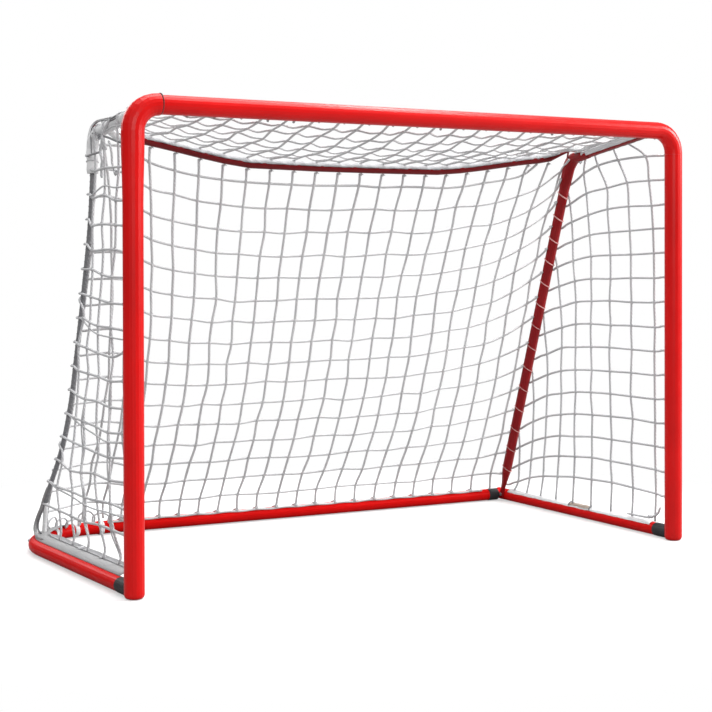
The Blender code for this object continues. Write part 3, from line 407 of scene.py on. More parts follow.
def lay_skirt(name, stations, section, material, replaces=None):
    """Cloth along the left base tube.

    stations: (distance from the front, share of the full section)
    section: (inwards, up) from the tube's axis
    """
    thick = 0.0016
    profile = catmull([(a, b, 0) for a, b in section], 4)[:, :2]
    root_in, root_up = profile[0]
    cols = len(profile)
    verts, faces, uvs, runs = [], [], [], []
    run = 0.0
    last = None
    for distance, fade in stations:
        centre, direction = base_left(distance)
        if last is not None:
            run += float(np.linalg.norm(centre - last))
        last = centre
        runs.append(run)
        for layer_thick in (thick, 0.0):
            for k, (across, up) in enumerate(profile):
                f = k / (cols - 1)
                height = lerp(root_up, up, fade) + 0.0006 * math.sin(run * 44 + 2.0 * f) * f
                height += layer_thick * (1.0 - (2 * f - 1) ** 8)
                verts.append(centre + inward(direction) * lerp(root_in, across, fade)
                             + vec(0, 0, height) + SHIFT)
    rows = len(stations)
    for i in range(rows - 1):
        a, b = i * 2 * cols, (i + 1) * 2 * cols
        for k in range(cols - 1):
            ua, ub = k / cols, (k + 1) / cols
            faces.append((a + k, b + k, b + k + 1, a + k + 1))
            uvs += [(ua, runs[i]), (ua, runs[i + 1]), (ub, runs[i + 1]), (ub, runs[i])]
            faces.append((a + cols + k, a + cols + k + 1, b + cols + k + 1, b + cols + k))
            uvs += [(ua, runs[i]), (ub, runs[i]), (ub, runs[i + 1]), (ua, runs[i + 1])]
        faces.append((a, a + cols, b + cols, b))
        faces.append((a + cols - 1, b + cols - 1, b + 2 * cols - 1, a + 2 * cols - 1))
        uvs += [(0.01, runs[i])] * 8
    for first, flip in ((0, False), ((rows - 1) * 2 * cols, True)):
        for k in range(first, first + cols - 1):
            quad = (k, k + 1, cols + k + 1, cols + k)
            faces.append(quad[::-1] if flip else quad)
            uvs += [(0.02, 0.001)] * 4
    add_mesh(name, np.array(verts), faces, uvs, MAT[material], replaces)


# ---------------------------------------------------------------- materials
class Shader:
    """The node tree of a material or world, with short calls for the nodes used here."""

    def __init__(self, owner, output):
        owner.use_nodes = True
        self.tree = owner.node_tree
        self.tree.nodes.clear()
        self.out = self.new(output)

    def new(self, kind, **settings):
        node = self.tree.nodes.new("ShaderNode" + kind)
        for key, value in settings.items():
            setattr(node, key, value)
        return node

    def feed(self, socket, value):
        """Give a socket a number, a colour or a link."""
        if isinstance(value, (int, float)):
            socket.default_value = value
        elif isinstance(value, tuple):
            socket.default_value = (*value, 1)
        else:
            self.tree.links.new(value, socket)

    def texcoord(self, space):
        return self.new("TexCoord").outputs[space]

    def coords(self, scale=(1, 1, 1)):
        place = self.texcoord("Object")
        mapping = self.new("Mapping")
        mapping.inputs["Scale"].default_value = scale
        self.feed(mapping.inputs["Vector"], place)
        return mapping.outputs["Vector"]

    def xyz(self, vector):
        node = self.new("SeparateXYZ")
        self.feed(node.inputs[0], vector)
        return node.outputs

    def noise(self, place, scale, detail=3.0, roughness=0.55):
        node = self.new("TexNoise")
        self.feed(node.inputs["Scale"], scale)
        self.feed(node.inputs["Detail"], detail)
        self.feed(node.inputs["Roughness"], roughness)
        self.feed(node.inputs["Vector"], place)
        return node.outputs["Fac"]

    def ramp(self, fac, *stops):
        """Colour ramp; each stop is (position, colour)."""
        node = self.new("ValToRGB")
        for element, (position, colour) in zip(node.color_ramp.elements, stops):
            element.position = position
            element.color = (*colour, 1)
        self.feed(node.inputs["Fac"], fac)
        return node.outputs["Color"]

    def remap(self, value, interpolation="LINEAR", **limits):
        node = self.new("MapRange", interpolation_type=interpolation)
        for key, limit in limits.items():
            self.feed(node.inputs[key.replace("_", " ").title()], limit)
        self.feed(node.inputs["Value"], value)
        return node.outputs[0]

    def math(self, operation, *values):
        node = self.new("Math", operation=operation)
        for socket, value in zip(node.inputs, values):
            self.feed(socket, value)
        return node.outputs[0]

    def mix(self, fac, a, b, blend="MIX"):
        node = self.new("Mix", data_type="RGBA", blend_type=blend)
        for i, value in ((0, fac), (6, a), (7, b)):
            self.feed(node.inputs[i], value)
        return node.outputs[2]

    def bump(self, height, strength, distance, under=None):
        node = self.new("Bump")
        self.feed(node.inputs["Strength"], strength)
        self.feed(node.inputs["Distance"], distance)
        self.feed(node.inputs["Height"], height)
        if under is not None:
            self.feed(node.inputs["Normal"], under)
        return node.outputs["Normal"]

    def show_mix(self, fac, a, b):
        """Mix two shaders into the output."""
        node = self.new("MixShader")
        for socket, value in zip(node.inputs, (fac, a, b)):
            self.feed(socket, value)
        self.feed(self.out.inputs["Surface"], node.outputs[0])


class Surface(Shader):
    """A material built on one Principled shader."""

    def __init__(self, name):
        self.mat = bpy.data.materials.new(name)
        super().__init__(self.mat, "OutputMaterial")
        self.bsdf = self.new("BsdfPrincipled")
        self.feed(self.out.inputs["Surface"], self.bsdf.outputs[0])

    def set(self, **values):
        for key, value in values.items():
            self.feed(self.bsdf.inputs[key.replace("_", " ")], value)


def scaled(colour, factor):
    return tuple(c * factor for c in colour)


def paint(name, base, deep, scuff=0.35, spec=0.18, coat=0.03):
    """Powder coat with orange peel, faint tone variation and small scuffs."""
    n = Surface(name)
    place = n.coords()
    col = n.ramp(n.noise(place, scale=5.0, detail=4.0), (0.30, deep), (0.68, base))
    # light scuffs, mostly low down
    spots = n.noise(n.coords(scale=(1, 1, 0.35)), scale=85.0, detail=6.0, roughness=0.72)
    mask = n.ramp(spots, (0.66, (0, 0, 0)), (0.74, (1, 1, 1)))
    low = n.remap(n.xyz(place)["Z"], from_min=0.35, from_max=0.0, to_min=0.10, to_max=1.0)
    fac = n.math("MULTIPLY", n.math("MULTIPLY", mask, low), scuff)
    col = n.mix(fac, col, tuple(min(1.0, c * 0.72 + 0.05) for c in base))
    rough = n.remap(n.noise(place, scale=32.0, detail=4.0), to_min=0.26, to_max=0.40)
    peel = n.bump(n.noise(place, scale=620.0, detail=2.0), strength=0.10, distance=0.0006)
    waves = n.noise(place, scale=9.0, detail=2.0)
    n.set(Base_Color=col, Roughness=rough, Specular_IOR_Level=spec, Coat_Weight=coat,
          Coat_Roughness=0.20, Normal=n.bump(waves, strength=0.06, distance=0.004, under=peel))
    return n.mat


def plastic(name):
    """Moulded black plastic with a fine spark texture and slightly rubbed edges."""
    n = Surface(name)
    place = n.coords()
    edge = n.ramp(n.new("NewGeometry").outputs["Pointiness"],
                  (0.50, (0.007, 0.007, 0.0075)), (0.60, (0.034, 0.034, 0.036)))
    tone = n.ramp(n.noise(place, scale=40.0, detail=5.0),
                  (0.3, (0.008, 0.008, 0.009)), (0.75, (0.028, 0.028, 0.030)))
    n.set(Base_Color=n.mix(0.35, edge, tone), Roughness=0.55, Specular_IOR_Level=0.26,
          Normal=n.bump(n.noise(place, scale=900.0), strength=0.35, distance=0.0008))
    return n.mat


def steel(name, base, rough=0.34):
    """Zinc-plated steel with cloudy plating and fine brushing."""
    n = Surface(name)
    place = n.coords()
    col = n.ramp(n.noise(place, scale=180.0, detail=5.0), (0.25, scaled(base, 0.62)), (0.75, base))
    brushed = n.noise(n.coords(scale=(1, 1, 18)), scale=260.0)
    grain = n.noise(place, scale=700.0, detail=2.0)
    n.set(Base_Color=col, Metallic=1.0,
          Roughness=n.remap(brushed, to_min=rough - 0.08, to_max=rough + 0.14),
          Normal=n.bump(grain, strength=0.12, distance=0.0003))
    return n.mat


def cord(name, light, dark, lay=0.011, strands=3.0, depth=0.0011):
    """Laid cord: strands wind round it once per lay, with fuzz and painted shade in the hollows
    between them.
    """
    n = Surface(name)
    uv = n.xyz(n.texcoord("UV"))
    phase = n.math("ADD", n.math("MULTIPLY", uv["Y"], 2 * math.pi / lay),
                   n.math("MULTIPLY", uv["X"], 2 * math.pi * strands))
    wave = n.math("MULTIPLY_ADD", n.math("SINE", phase), 0.5, 0.5)
    place = n.coords()
    slow = n.noise(place, scale=7.0, detail=4.0)
    fuzz = n.noise(place, scale=1500.0, detail=2.0)
    middle = tuple(lerp(d, l, 0.55) for d, l in zip(dark, light))
    body = n.ramp(slow, (0.28, middle), (0.70, light))
    # painted shade: the dark colour fills the hollows between the strands
    hollow_painted_shade = n.ramp(wave, (0.0, dark), (0.42, light))
    col = n.mix(0.45, n.mix(0.55, body, hollow_painted_shade, "MULTIPLY"), body)
    relief = n.bump(wave, strength=0.75, distance=depth)
    n.set(Base_Color=col, Roughness=0.82, Specular_IOR_Level=0.25, Sheen_Weight=0.25,
          Sheen_Roughness=0.5, Normal=n.bump(fuzz, strength=0.35, distance=0.0004, under=relief))
    return n.mat


def webbing(name, light, dark):
    """Woven tape: warp and weft from two crossed waves over its UVs."""
    n = Surface(name)
    uv = n.xyz(n.texcoord("UV"))
    warp = n.math("SINE", n.math("MULTIPLY", uv["X"], 2 * math.pi * 22.0))
    weft = n.math("SINE", n.math("MULTIPLY", uv["Y"], 2 * math.pi / 0.0022))
    weave = n.math("MULTIPLY_ADD", n.math("MULTIPLY", warp, weft), 0.5, 0.5)
    place = n.coords()
    tone = n.ramp(n.noise(place, scale=26.0, detail=4.0), (0.3, dark), (0.68, light))
    col = n.mix(0.35, tone, n.ramp(weave, (0.0, scaled(dark, 0.62)), (0.6, light)))
    relief = n.bump(weave, strength=0.6, distance=0.0008)
    creases = n.noise(place, scale=60.0, detail=4.0)
    n.set(Base_Color=col, Roughness=0.85, Specular_IOR_Level=0.2, Sheen_Weight=0.3,
          Normal=n.bump(creases, strength=0.35, distance=0.004, under=relief))
    return n.mat


MAT = {
    "red": paint("paint_red", base=(0.60, 0.0038, 0.0036), deep=(0.51, 0.0032, 0.0030)),
    "base_red": paint("paint_base_red", base=(0.58, 0.0038, 0.0036),
                      deep=(0.49, 0.0032, 0.0030), scuff=0.20, spec=0.045, coat=0.0),
    # a darker copy of the red: painted shade for red parts that are seen in shade
    "dark_red": paint("paint_red_darkened_painted_shade", base=(0.255, 0.0040, 0.0060),
                      deep=(0.20, 0.0034, 0.0052)),
    # a deeper copy of the red for the rear top bar: painted shade, since the bar sits in shade
    "shade_painted_bar_red": paint("paint_red_with_painted_shade", base=(0.165, 0.0032, 0.0052),
                     deep=(0.125, 0.0028, 0.0046), scuff=0.15),
    "black": plastic("moulded_black"),
    "zinc": steel("zinc_plate", base=(0.56, 0.57, 0.60)),
    "spring": steel("spring_steel", base=(0.42, 0.43, 0.46), rough=0.28),
    "cord": cord("net_cord", light=(0.66, 0.66, 0.665), dark=(0.40, 0.40, 0.41)),
    "side_cord": cord("side_cord", light=(0.58, 0.58, 0.59), dark=(0.34, 0.34, 0.35)),
    "grey_cord": cord("edge_cord", light=(0.25, 0.25, 0.26), dark=(0.12, 0.12, 0.13), lay=0.014),
    "rope": cord("hem_rope", light=(0.60, 0.60, 0.61), dark=(0.40, 0.40, 0.41), lay=0.016,
                 depth=0.0012),
    "lace": cord("pale_lace", light=(0.72, 0.40, 0.38), dark=(0.50, 0.25, 0.24), lay=0.006,
                 strands=2.0, depth=0.0006),
    "tape": webbing("white_tape", light=(0.80, 0.80, 0.80), dark=(0.66, 0.66, 0.67)),
    "sleeve": webbing("sleeve_cloth", light=(0.66, 0.66, 0.67), dark=(0.54, 0.54, 0.55)),
    "edge_cloth": webbing("edge_cloth", light=(0.40, 0.40, 0.41), dark=(0.29, 0.29, 0.30)),
    "hem_cloth": webbing("hem_cloth", light=(0.265, 0.265, 0.268), dark=(0.238, 0.238, 0.241)),
    "seam": cord("seam_shadow", light=(0.070, 0.012, 0.011), dark=(0.030, 0.008, 0.008),
                 lay=0.004, strands=1.0, depth=0.0003),
    "patch": webbing("patch_cloth", light=(0.36, 0.285, 0.225), dark=(0.24, 0.185, 0.145)),
}


def finish_frame():
    """Paint and smooth the CAD pieces that stay on show."""
    slots = {}
    for part in frame["record"]["subparts"]:
        slots.setdefault(part["node"], part["material_slot"])
    for node, ob in frame["nodes"].items():
        finish = slots.get(node, "red")
        if finish not in ("red", "dark_red", "black", "zinc", "spring"):
            continue
        if node == "rear_top_bar":
            # the rear top bar takes the deeper red, which is painted shade
            finish = "shade_painted_bar_red"
        elif node.startswith("base_") and finish == "red":
            finish = "base_red"
        ob.data.materials.clear()
        ob.data.materials.append(MAT[finish])
        ob.data.polygons.foreach_set("use_smooth", [True] * len(ob.data.polygons))
        ob.data.set_sharp_from_angle(angle=math.radians(34))
        ob.data.update()


# ---------------------------------------------------------------- back net
BACK_CORDS = range(-3, 20)
BACK_ROWS = 16
# cords left of cord 0: share drawn to the left upright, shift in X, lift
LEFT_EDGE = {-1: (0.0, 0, 0.010), -2: (0.12, 0.012, 0.0145), -3: (1.0, 0, 0.0145)}


def drape(k, v):
    """Point of the back net and its share of the way down.

    k counts the upright cords from the left, v runs down from the rear top bar. The net hangs
    slack on the left and stands fuller on the right; the polynomials run across its width.
    """
    x = cord_x(k)
    u = x / 0.735
    s1, s2 = math.sin(math.pi * v), math.sin(2 * math.pi * v)
    spread = poly(u, 0.0173, -0.0407, 0.0484, -0.0046)
    fall = (s1 * poly(u, -0.0363, 0.0421, -0.0280, 0.0408)
            + s2 * poly(u, 0.0187, 0.0115, -0.0101))
    w = v + s1 * poly(u, 0.0041, 0.0153, -0.0178) + s2 * poly(u, 0.0104, 0.0009, -0.0090)
    w += (1 - v) * poly(max(-0.95, u), 0, -0.0021, -0.0157, 0, 0.1143, 0, -0.1433)
    rise = 0.063 * smooth((-x - 0.24) / 0.54) if x < 0 else 0.047 * smooth((x - 0.26) / 0.52)
    top_z = 1.072 + rise
    return vec(x + v * spread, 0.455 + 0.470 * w + fall * 0.92,
               top_z + (0.058 - top_z) * w + fall * 0.39), w


def back_node(k, v):
    p, w = drape(k, v)
    if k < 0:
        pull, shift, lift = LEFT_EDGE[k]
        edge = left_upright(p[2]) + vec(0.010, 0.006, 0)
        p = lerp(p, vec(edge[0], edge[1], p[2]), pull) + vec(shift, 0, lift)
    return p, w


def back_upright_cord(k, nodes):
    x = cord_x(k)
    bar = rear_bar(clamp(x, -0.735, 0.735))
    top = vec(clamp(x, -0.775, 0.775), bar[1] + 0.004, bar[2] - 0.0155)
    if k == BACK_CORDS[0]:
        top = left_upright(1.06) + vec(0.009, 0.006, 0)
    points = [top]
    for j in range(BACK_ROWS):
        p, w = nodes[k, j]
        if w > 0.012 and p[2] < top[2] - 0.012:
            points.append(p)
    foot, _ = back_node(k, 1.0)
    if k >= 0:
        points.append(vec(foot[0], BASE_DEPTH - 0.012, BASE_TOP + 0.001))
    else:
        points.append(vec(foot[0], min(foot[1], BASE_DEPTH - 0.02), BASE_TOP + 0.012))
    return points


def back_row_cord(j, nodes):
    points = []
    for k in BACK_CORDS:
        p, w = nodes[k, j]
        if w > 0.006:
            points.append(p)
        elif k > 3:
            break
    z_end = points[-1][2] + (points[-1][2] - points[-2][2]) * 0.7
    if len(points) > 19 and z_end < 1.12:
        # round the right upright
        up = right_upright(z_end)
        points += [vec(up[0] - 0.0192, up[1] + 0.001, z_end),
                   vec(up[0] - 0.0150, up[1] + 0.0125, z_end + 0.001),
                   vec(up[0] - 0.004, up[1] + 0.0192, z_end + 0.001)]
    else:
        x = points[-1][0] + 0.035
        bar = rear_bar(min(0.74, x))
        points.append(vec(x, bar[1] - 0.002, bar[2] - 0.0135))
    z = points[0][2]
    up = left_upright(z)
    return [vec(up[0] + 0.003, up[1] + 0.0085, z + 0.003)] + points


def build_back_net():
    net = Cords()
    nodes = {}
    for k in BACK_CORDS:
        for j in range(BACK_ROWS):
            p, w = back_node(k, (j + 0.495) / 16.03)
            nodes[k, j] = (p + rng.normal(0, 0.0019, 3) * vec(1, 0.6, 1), w)
    for k in BACK_CORDS:
        net.net_cord(back_upright_cord(k, nodes), NET_R + 0.0002 * math.sin(k), BACK_NORMAL)
    for j in range(BACK_ROWS):
        net.net_cord(back_row_cord(j, nodes), NET_R, BACK_NORMAL, vec(0, 0.0022, 0))
    for p, w in nodes.values():
        if w > 0.02:
            net.knot(p + vec(0, 0.0010, 0), BACK_NORMAL)
    net.build("back_net", "cord", "net_back")


# ---------------------------------------------------------------- side nets
RIGHT_CORDS = range(1, 12)
RIGHT_ROWS = 15
LEAN = {1: 0.007, 2: 0.034, 3: 0.030, 4: 0.004}      # how far back cords start on the shelf bar
LEFT_CORDS = range(0, 8)
LEFT_ROWS = range(-3, 12)


def tuck(h):
    """Moves quickly from 0 to 1 as h leaves 0."""
    return 1 - (1 - clamp(h)) ** 5


def round_post(side, z, last_y):
    """Start of a row behind a post."""
    return [vec(side * (HALF_WIDTH - inset), y, z)
            for inset, y in ((0.012, 0.0262), (0.006, 0.0300), (0.009, last_y))]


def right_sheet(i, h):
    """Right side net: i counts cords back from the post, h runs down from the shelf bar.

    The polynomials in t run from front to back.
    """
    y0 = -0.0345 + SIDE_PITCH * i
    t = y0 / 0.92
    s1, s2 = math.sin(math.pi * h), math.sin(2 * math.pi * h)
    y = (y0 + s1 * poly(t, 0, -0.0280, -0.0514) + h * poly(t, 0, 0.0949, -0.0907, -0.0705)
         + s2 * poly(t, 0, -0.0003, -0.0028))
    z = (lerp(1.165, 0.050, h) + s1 * poly(t, 0, -0.0788, 0.2711, -0.0456)
         + s2 * poly(t, 0, 0.0071, 0.0326))
    z += (1 - h) * poly(t, 0, -0.0052, -0.0193, -0.4856) + h * poly(t, 0, 0.0764, -0.1141)
    x = (lerp(0.792, 0.839 + 0.031 * y - 0.006, tuck(h))
         + s1 * poly(t, -0.0366, 0.0295, 0.0223) * bulge(t))
    # drawn to the outside of the raked upright over its last few centimetres
    up = right_upright(clamp(z, 0.05, 1.12))
    near = smooth((y - (up[1] - 0.13)) / 0.12)
    return vec(lerp(x, up[0] + 0.0175, near), y, z)


def right_h(j):
    return (j + 0.535) / 15.58


def right_cord_start(i, j, first_knot):
    """Top of an upright cord whose first knot is in row j."""
    if i <= 4 and j == 0:
        # over the shelf bar
        y = min(0.392, right_sheet(i, right_h(1))[1] + (0.098 if i == 1 else 2.0 * LEAN[i]))
        x, _, z = on_line(RIGHT_SHELF, 1, y)
        return [vec(x - 0.004, y, z + 0.0172), vec(x + 0.0135, y, z + 0.0085),
                vec(x + 0.0160, y - 0.001, z - 0.0060)]
    # follow the sheet up until it meets the upright, then go round the back of it
    h = right_h(j)
    start = []
    while h > 0.0:
        h -= 0.012
        p = right_sheet(i, h)
        up = right_upright(min(1.12, p[2]))
        if p[1] > up[1] - 0.010 or p[2] > 1.105:
            start = [vec(up[0] + 0.0150, up[1] + 0.010, min(1.10, p[2] + 0.012)),
                     vec(up[0] + 0.0190, up[1] - 0.001, min(1.10, p[2]))]
            break
    # a long first span gets a point of the sheet halfway
    if start and start[1][2] - first_knot[2] > 0.09:
        start.append(right_sheet(i, (h + right_h(j)) / 2))
    return start


def right_row_end(i_last, j, last_y):
    """From the last knot of row j on to the upright and round behind it."""
    h = right_h(j)
    k = i_last
    while k < i_last + 1.2:
        k += 0.1
        p = right_sheet(k, h)
        up = right_upright(min(1.12, p[2]))
        if p[1] > up[1] - 0.008:
            break
    z = p[2]
    end = [right_sheet((i_last + k) / 2, h)] if up[1] - 0.006 - last_y > 0.05 else []
    return end + [vec(up[0] + 0.0190, up[1] - 0.003, z), vec(up[0] + 0.0165, up[1] + 0.0105, z),
                  vec(up[0] + 0.004, up[1] + 0.0195, z)]


def build_right_net():
    net = Cords()
    knots = {}
    for i in RIGHT_CORDS:
        for j in range(RIGHT_ROWS):
            p = right_sheet(i, right_h(j)) + rng.normal(0, 0.0013, 3)
            if j == 0:
                p[1] += LEAN.get(i, 0.0)
            if p[1] < right_upright(p[2])[1] - 0.016 and p[2] > BASE_TOP + 0.02:
                knots[i, j] = p
    for i in RIGHT_CORDS:
        rows = [j for j in range(RIGHT_ROWS) if (i, j) in knots]
        if not rows:
            continue
        column = [knots[i, j] for j in rows]
        y = min(right_sheet(i, 1.0)[1], 0.885)
        foot = vec(base_side(1, y)[0] - 0.010, y, BASE_TOP + 0.0045)
        start = right_cord_start(i, rows[0], column[0])
        net.net_cord(start + column + [foot], NET_R, X_AXIS)
    for j in range(RIGHT_ROWS):
        cords = [i for i in RIGHT_CORDS if (i, j) in knots]
        if not cords:
            continue
        row = [knots[i, j] for i in cords]
        z_post = lerp(row[0][2], right_sheet(0, right_h(j))[2], 0.6)
        end = right_row_end(cords[-1], j, row[-1][1])
        net.net_cord(round_post(1, z_post, 0.0420) + row + end, NET_R, X_AXIS,
                     vec(0.0016, 0, 0))
    for p in knots.values():
        net.knot(p + vec(0.001, 0, 0), X_AXIS)
    net.build("right_side_net", "side_cord", "net_right_side")


def left_row_z(n):
    """Height at which row n meets the left upright."""
    return 0.862 - 0.0661 * n


def left_sheet(i, n):
    """Left side net: i counts cords back from the post, n counts rows down."""
    z_back = left_row_z(n)
    z_front = 0.829 - 0.0618 * n + {-3: 0.030, -2: 0.014}.get(n, 0.0)
    up = left_upright(z_back)
    y = 0.075 + 0.1025 * i + 0.030 * smooth((0.9 - z_back) / 0.8) * (i / 5.0)
    t = y / up[1]
    z = lerp(z_front, z_back, t) - 0.011 * bulge(t) * smooth((0.8 - z_back) / 0.4)
    x = lerp(-0.831, up[0] - 0.006, clamp(t))
    x = lerp(-0.797, x, tuck((1.165 - z) / 1.115)) - 0.012 * bulge(t) * bulge(z / 1.1)
    # its foot is drawn in over the hem, away from the post and the upright
    x += (0.011 * math.exp(-((z - 0.125) / 0.095) ** 2) * smooth(t / 0.25)
          * smooth((1 - t) / 0.3))
    return vec(x, y, z)


def left_cord_start(n, first_knot):
    """Top of an upright cord whose first knot is in row n."""
    if n == -3 and first_knot[1] < 0.39:
        # over the shelf bar
        y = min(0.37, first_knot[1] + 0.020)
        x, _, z = on_line(LEFT_SHELF[:2], 1, y)
        return [vec(x + 0.004, y, z + 0.0178), vec(x - 0.0135, y, z + 0.0100),
                vec(x - 0.0170, y - 0.002, z - 0.0060)]
    z = first_knot[2] + 0.046
    up = left_upright(z)
    return [vec(up[0] - 0.002, up[1] + 0.0095, z + 0.010),
            vec(up[0] - 0.0095, up[1] - 0.001, z),
            vec(up[0] - 0.009, up[1] - 0.022, z - 0.016)]


def left_upright_cords(net, knots):
    for i in LEFT_CORDS:
        rows = [n for n in LEFT_ROWS if (i, n) in knots]
        if not rows:
            continue
        column = [knots[i, n] for n in rows]
        y = min(0.735, column[-1][1] + 0.006)
        x = base_side(-1, y)[0]
        end = [vec(x + 0.0450, y, BASE_TOP + 0.036), vec(x + 0.0415, y + 0.003, BASE_TOP + 0.0100)]
        path = catmull(left_cord_start(rows[0], column[0]) + column + end, 4)
        net.sweep(path, THIN_NET_R, 6, X_AXIS)
        if i in (1, 3):
            # a thinner second strand waves beside the lower part
            path = path[path[:, 2] < 0.52]
            s = np.linspace(0, 1, len(path))
            offset = np.stack([-0.004 + 0 * s, 0.0085 * np.sin(17 * s + i), 0 * s], 1)
            offset = offset * np.minimum(1, np.minimum(s, 1 - s) * 9)[:, None]
            net.sweep(path + offset, 0.0023, 5, X_AXIS)


def left_row_cords(net, knots):
    for n in LEFT_ROWS:
        row = [knots[i, n] for i in LEFT_CORDS if (i, n) in knots]
        if not row:
            continue
        z = left_row_z(n)
        up = left_upright(z)
        end = [vec(up[0] - 0.0070, up[1] - 0.012, z), vec(up[0] - 0.0095, up[1] + 0.001, z + 0.001),
               vec(up[0] - 0.001, up[1] + 0.0095, z + 0.003)]
        path = catmull(round_post(-1, row[0][2], 0.0400) + row + end, 4)
        net.sweep(path - vec(0.0016, 0, 0), THIN_NET_R, 6, X_AXIS)
        if n in (-2, 3, 7, 10):
            # a slack strand that leaves this row and comes back near the upright
            slack = path[:-9].copy()
            s = np.linspace(0, 1, len(slack))
            slack[:, 2] += (0.034 if n == -2 else -0.024) * np.sin(math.pi * s) ** 1.3
            net.sweep(slack - vec(0.0035, 0, 0), 0.0024, 5, X_AXIS)


def build_left_net():
    net = Cords()
    knots = {}
    for i in LEFT_CORDS:
        for n in LEFT_ROWS:
            p = left_sheet(i, n) + vec(0.0020, 0.0048, 0.0036) * rng.normal(0, 1, 3)
            if p[1] < left_upright(p[2])[1] - 0.030:
                knots[i, n] = p
    left_upright_cords(net, knots)
    left_row_cords(net, knots)
    for p in knots.values():
        net.knot(p - vec(0.001, 0, 0), X_AXIS, 0.0015)
    net.build("left_side_net", "side_cord", "net_left_side")


# ---------------------------------------------------------------- top net
TOP_CORDS = range(-2, 19)
TOP_ROWS = range(1, 8)


def top_sheet(k, m):
    """Point of the top net and its share of the way to the crossbar; m counts rows forward."""
    x = cord_x(k)
    bar = rear_bar(clamp(x, -0.74, 0.74))
    y_bar = bar[1] - 0.004
    y = y_bar - 0.0610 * m
    t = (y_bar - y) / (y_bar - 0.020)
    z = lerp(bar[2] + 0.016, 1.186, t) - 0.020 * bulge(t) * (1 - (x / 0.8) ** 2)
    return vec(x, y, z), t


def top_row(m, cords, knots):
    row = [knots[k, m] for k in cords]
    y = row[0][1]
    shelf = on_line(LEFT_SHELF[:3], 1, y)
    points = [vec(shelf[0] - 0.006, y, shelf[2] + 0.0178)]
    for k, a, b in zip(cords, row, row[1:]):
        # slack: each span drops and swings to alternate sides, which rounds the meshes
        swing = 0.0105 if (k + m) % 2 else -0.0105
        points += [a, (a + b) / 2 + vec(0, swing, -0.0060)]
    shelf = on_line(RIGHT_SHELF, 1, y)
    return points + [row[-1], vec(shelf[0] - 0.0165, y, shelf[2] + 0.0100)]


def build_top_net():
    net = Cords()
    knots = {}
    for k in TOP_CORDS:
        for m in TOP_ROWS:
            p, t = top_sheet(k, m)
            if t < 0.97:
                knots[k, m] = p + rng.normal(0, 0.0022, 3)
    for k in TOP_CORDS:
        x = cord_x(k)
        bar = rear_bar(clamp(x, -0.74, 0.74))
        points = [vec(x, bar[1] + 0.0135, bar[2] + 0.002), vec(x, bar[1] + 0.001, bar[2] + 0.0155)]
        points += [knots[k, m] for m in TOP_ROWS if (k, m) in knots]
        points += [vec(x, 0.0250, 1.1845), vec(x, 0.0150, 1.1735)]
        net.net_cord(points, THIN_NET_R, TOP_NORMAL)
    for m in TOP_ROWS:
        cords = [k for k in TOP_CORDS if (k, m) in knots]
        if len(cords) >= 3:
            net.net_cord(top_row(m, cords, knots), THIN_NET_R, TOP_NORMAL, vec(0, 0, 0.0016), 3)
    for p in knots.values():
        net.knot(p + vec(0, 0, 0.001), TOP_NORMAL)
    # the rope its right edge is tied to, along the inside of the shelf sleeve
    net.loose([on_line(RIGHT_SHELF, 1, y) + vec(-0.0168, 0, 0.0112)
               for y in (0.045, 0.13, 0.22, 0.31, 0.395)], 5, THIN_NET_R, 7, TOP_NORMAL)
    net.build("top_net", "cord", "net_top")


# ---------------------------------------------------------------- bars and uprights
def build_rear_bar_edge():
    """A wrap at the left end of the rear bar, a cloth band over its top, and the lashing."""
    wrap_cloth("rear_bar_end_wrap", [rear_bar(x) for x in np.linspace(-0.770, -0.692, 8)],
               0.0136, (5, 355), -Y_AXIS, "tape", thick=0.0014, wrinkle=0.0005)
    band = catmull([rear_bar(x) for x in np.linspace(-0.70, 0.736, 31)], 2)
    wrap_cloth("rear_bar_edge", band, 0.0134, (-8, -205), -Y_AXIS, "edge_cloth",
               thick=0.0014, wrinkle=0.0009, steps=4)
    lashing = Cords()
    for k in range(-1, 19):
        if abs(cord_x(k)) > 0.72:
            continue
        centre = rear_bar(cord_x(k))
        # from the top of the band down behind the bar, with a knot below it
        lashing.sweep([centre + vec(0.003 * (a - 1), -math.cos(a) * 0.0178, math.sin(a) * 0.0178)
                       for a in np.radians(np.linspace(84, 262, 9))],
                      0.0016, 5, X_AXIS, taper=True)
        lashing.knot(centre + vec(0.001, 0.003, -0.0172), UP, 0.0012, 0.0019)
    lashing.build("edge_lashing", "cord")


def build_crossbar_ties():
    ties = Cords()
    for k in range(-2, 20):
        low = 0.0035 if k in (-1, 0, 2, 3, 9, 14) else 0.0
        ties.knot(vec(cord_x(k), 0.0180, 1.1742 - low), vec(0, 1, 0.4), 0.0010, 0.0016)
    ties.build("crossbar_ties", "side_cord")


def build_upright_lacing():
    """Slanting turns round the raked right upright, lowest at its outer front."""
    lacing = Cords()
    t = np.linspace(0, 2 * math.pi, 22, endpoint=False)[:, None]
    for j in range(14):
        z = 1.027 - 0.0700 * j
        axis = unit(right_upright(z + 0.03) - right_upright(z - 0.03))
        a = unit(np.cross(axis, Y_AXIS))
        around = a * np.cos(t) + np.cross(axis, a) * np.sin(t)
        slant = axis * (around @ vec(0.874, -0.485, 0))[:, None] * 0.0085
        radius = (0.0021, 0.0018, 0.0015, 0.0012)[min(3, j // 2)]
        lacing.sweep(right_upright(z) + around * 0.0171 - slant, radius, 5, axis, closed=True)
    lacing.build("upright_lacing", "lace")


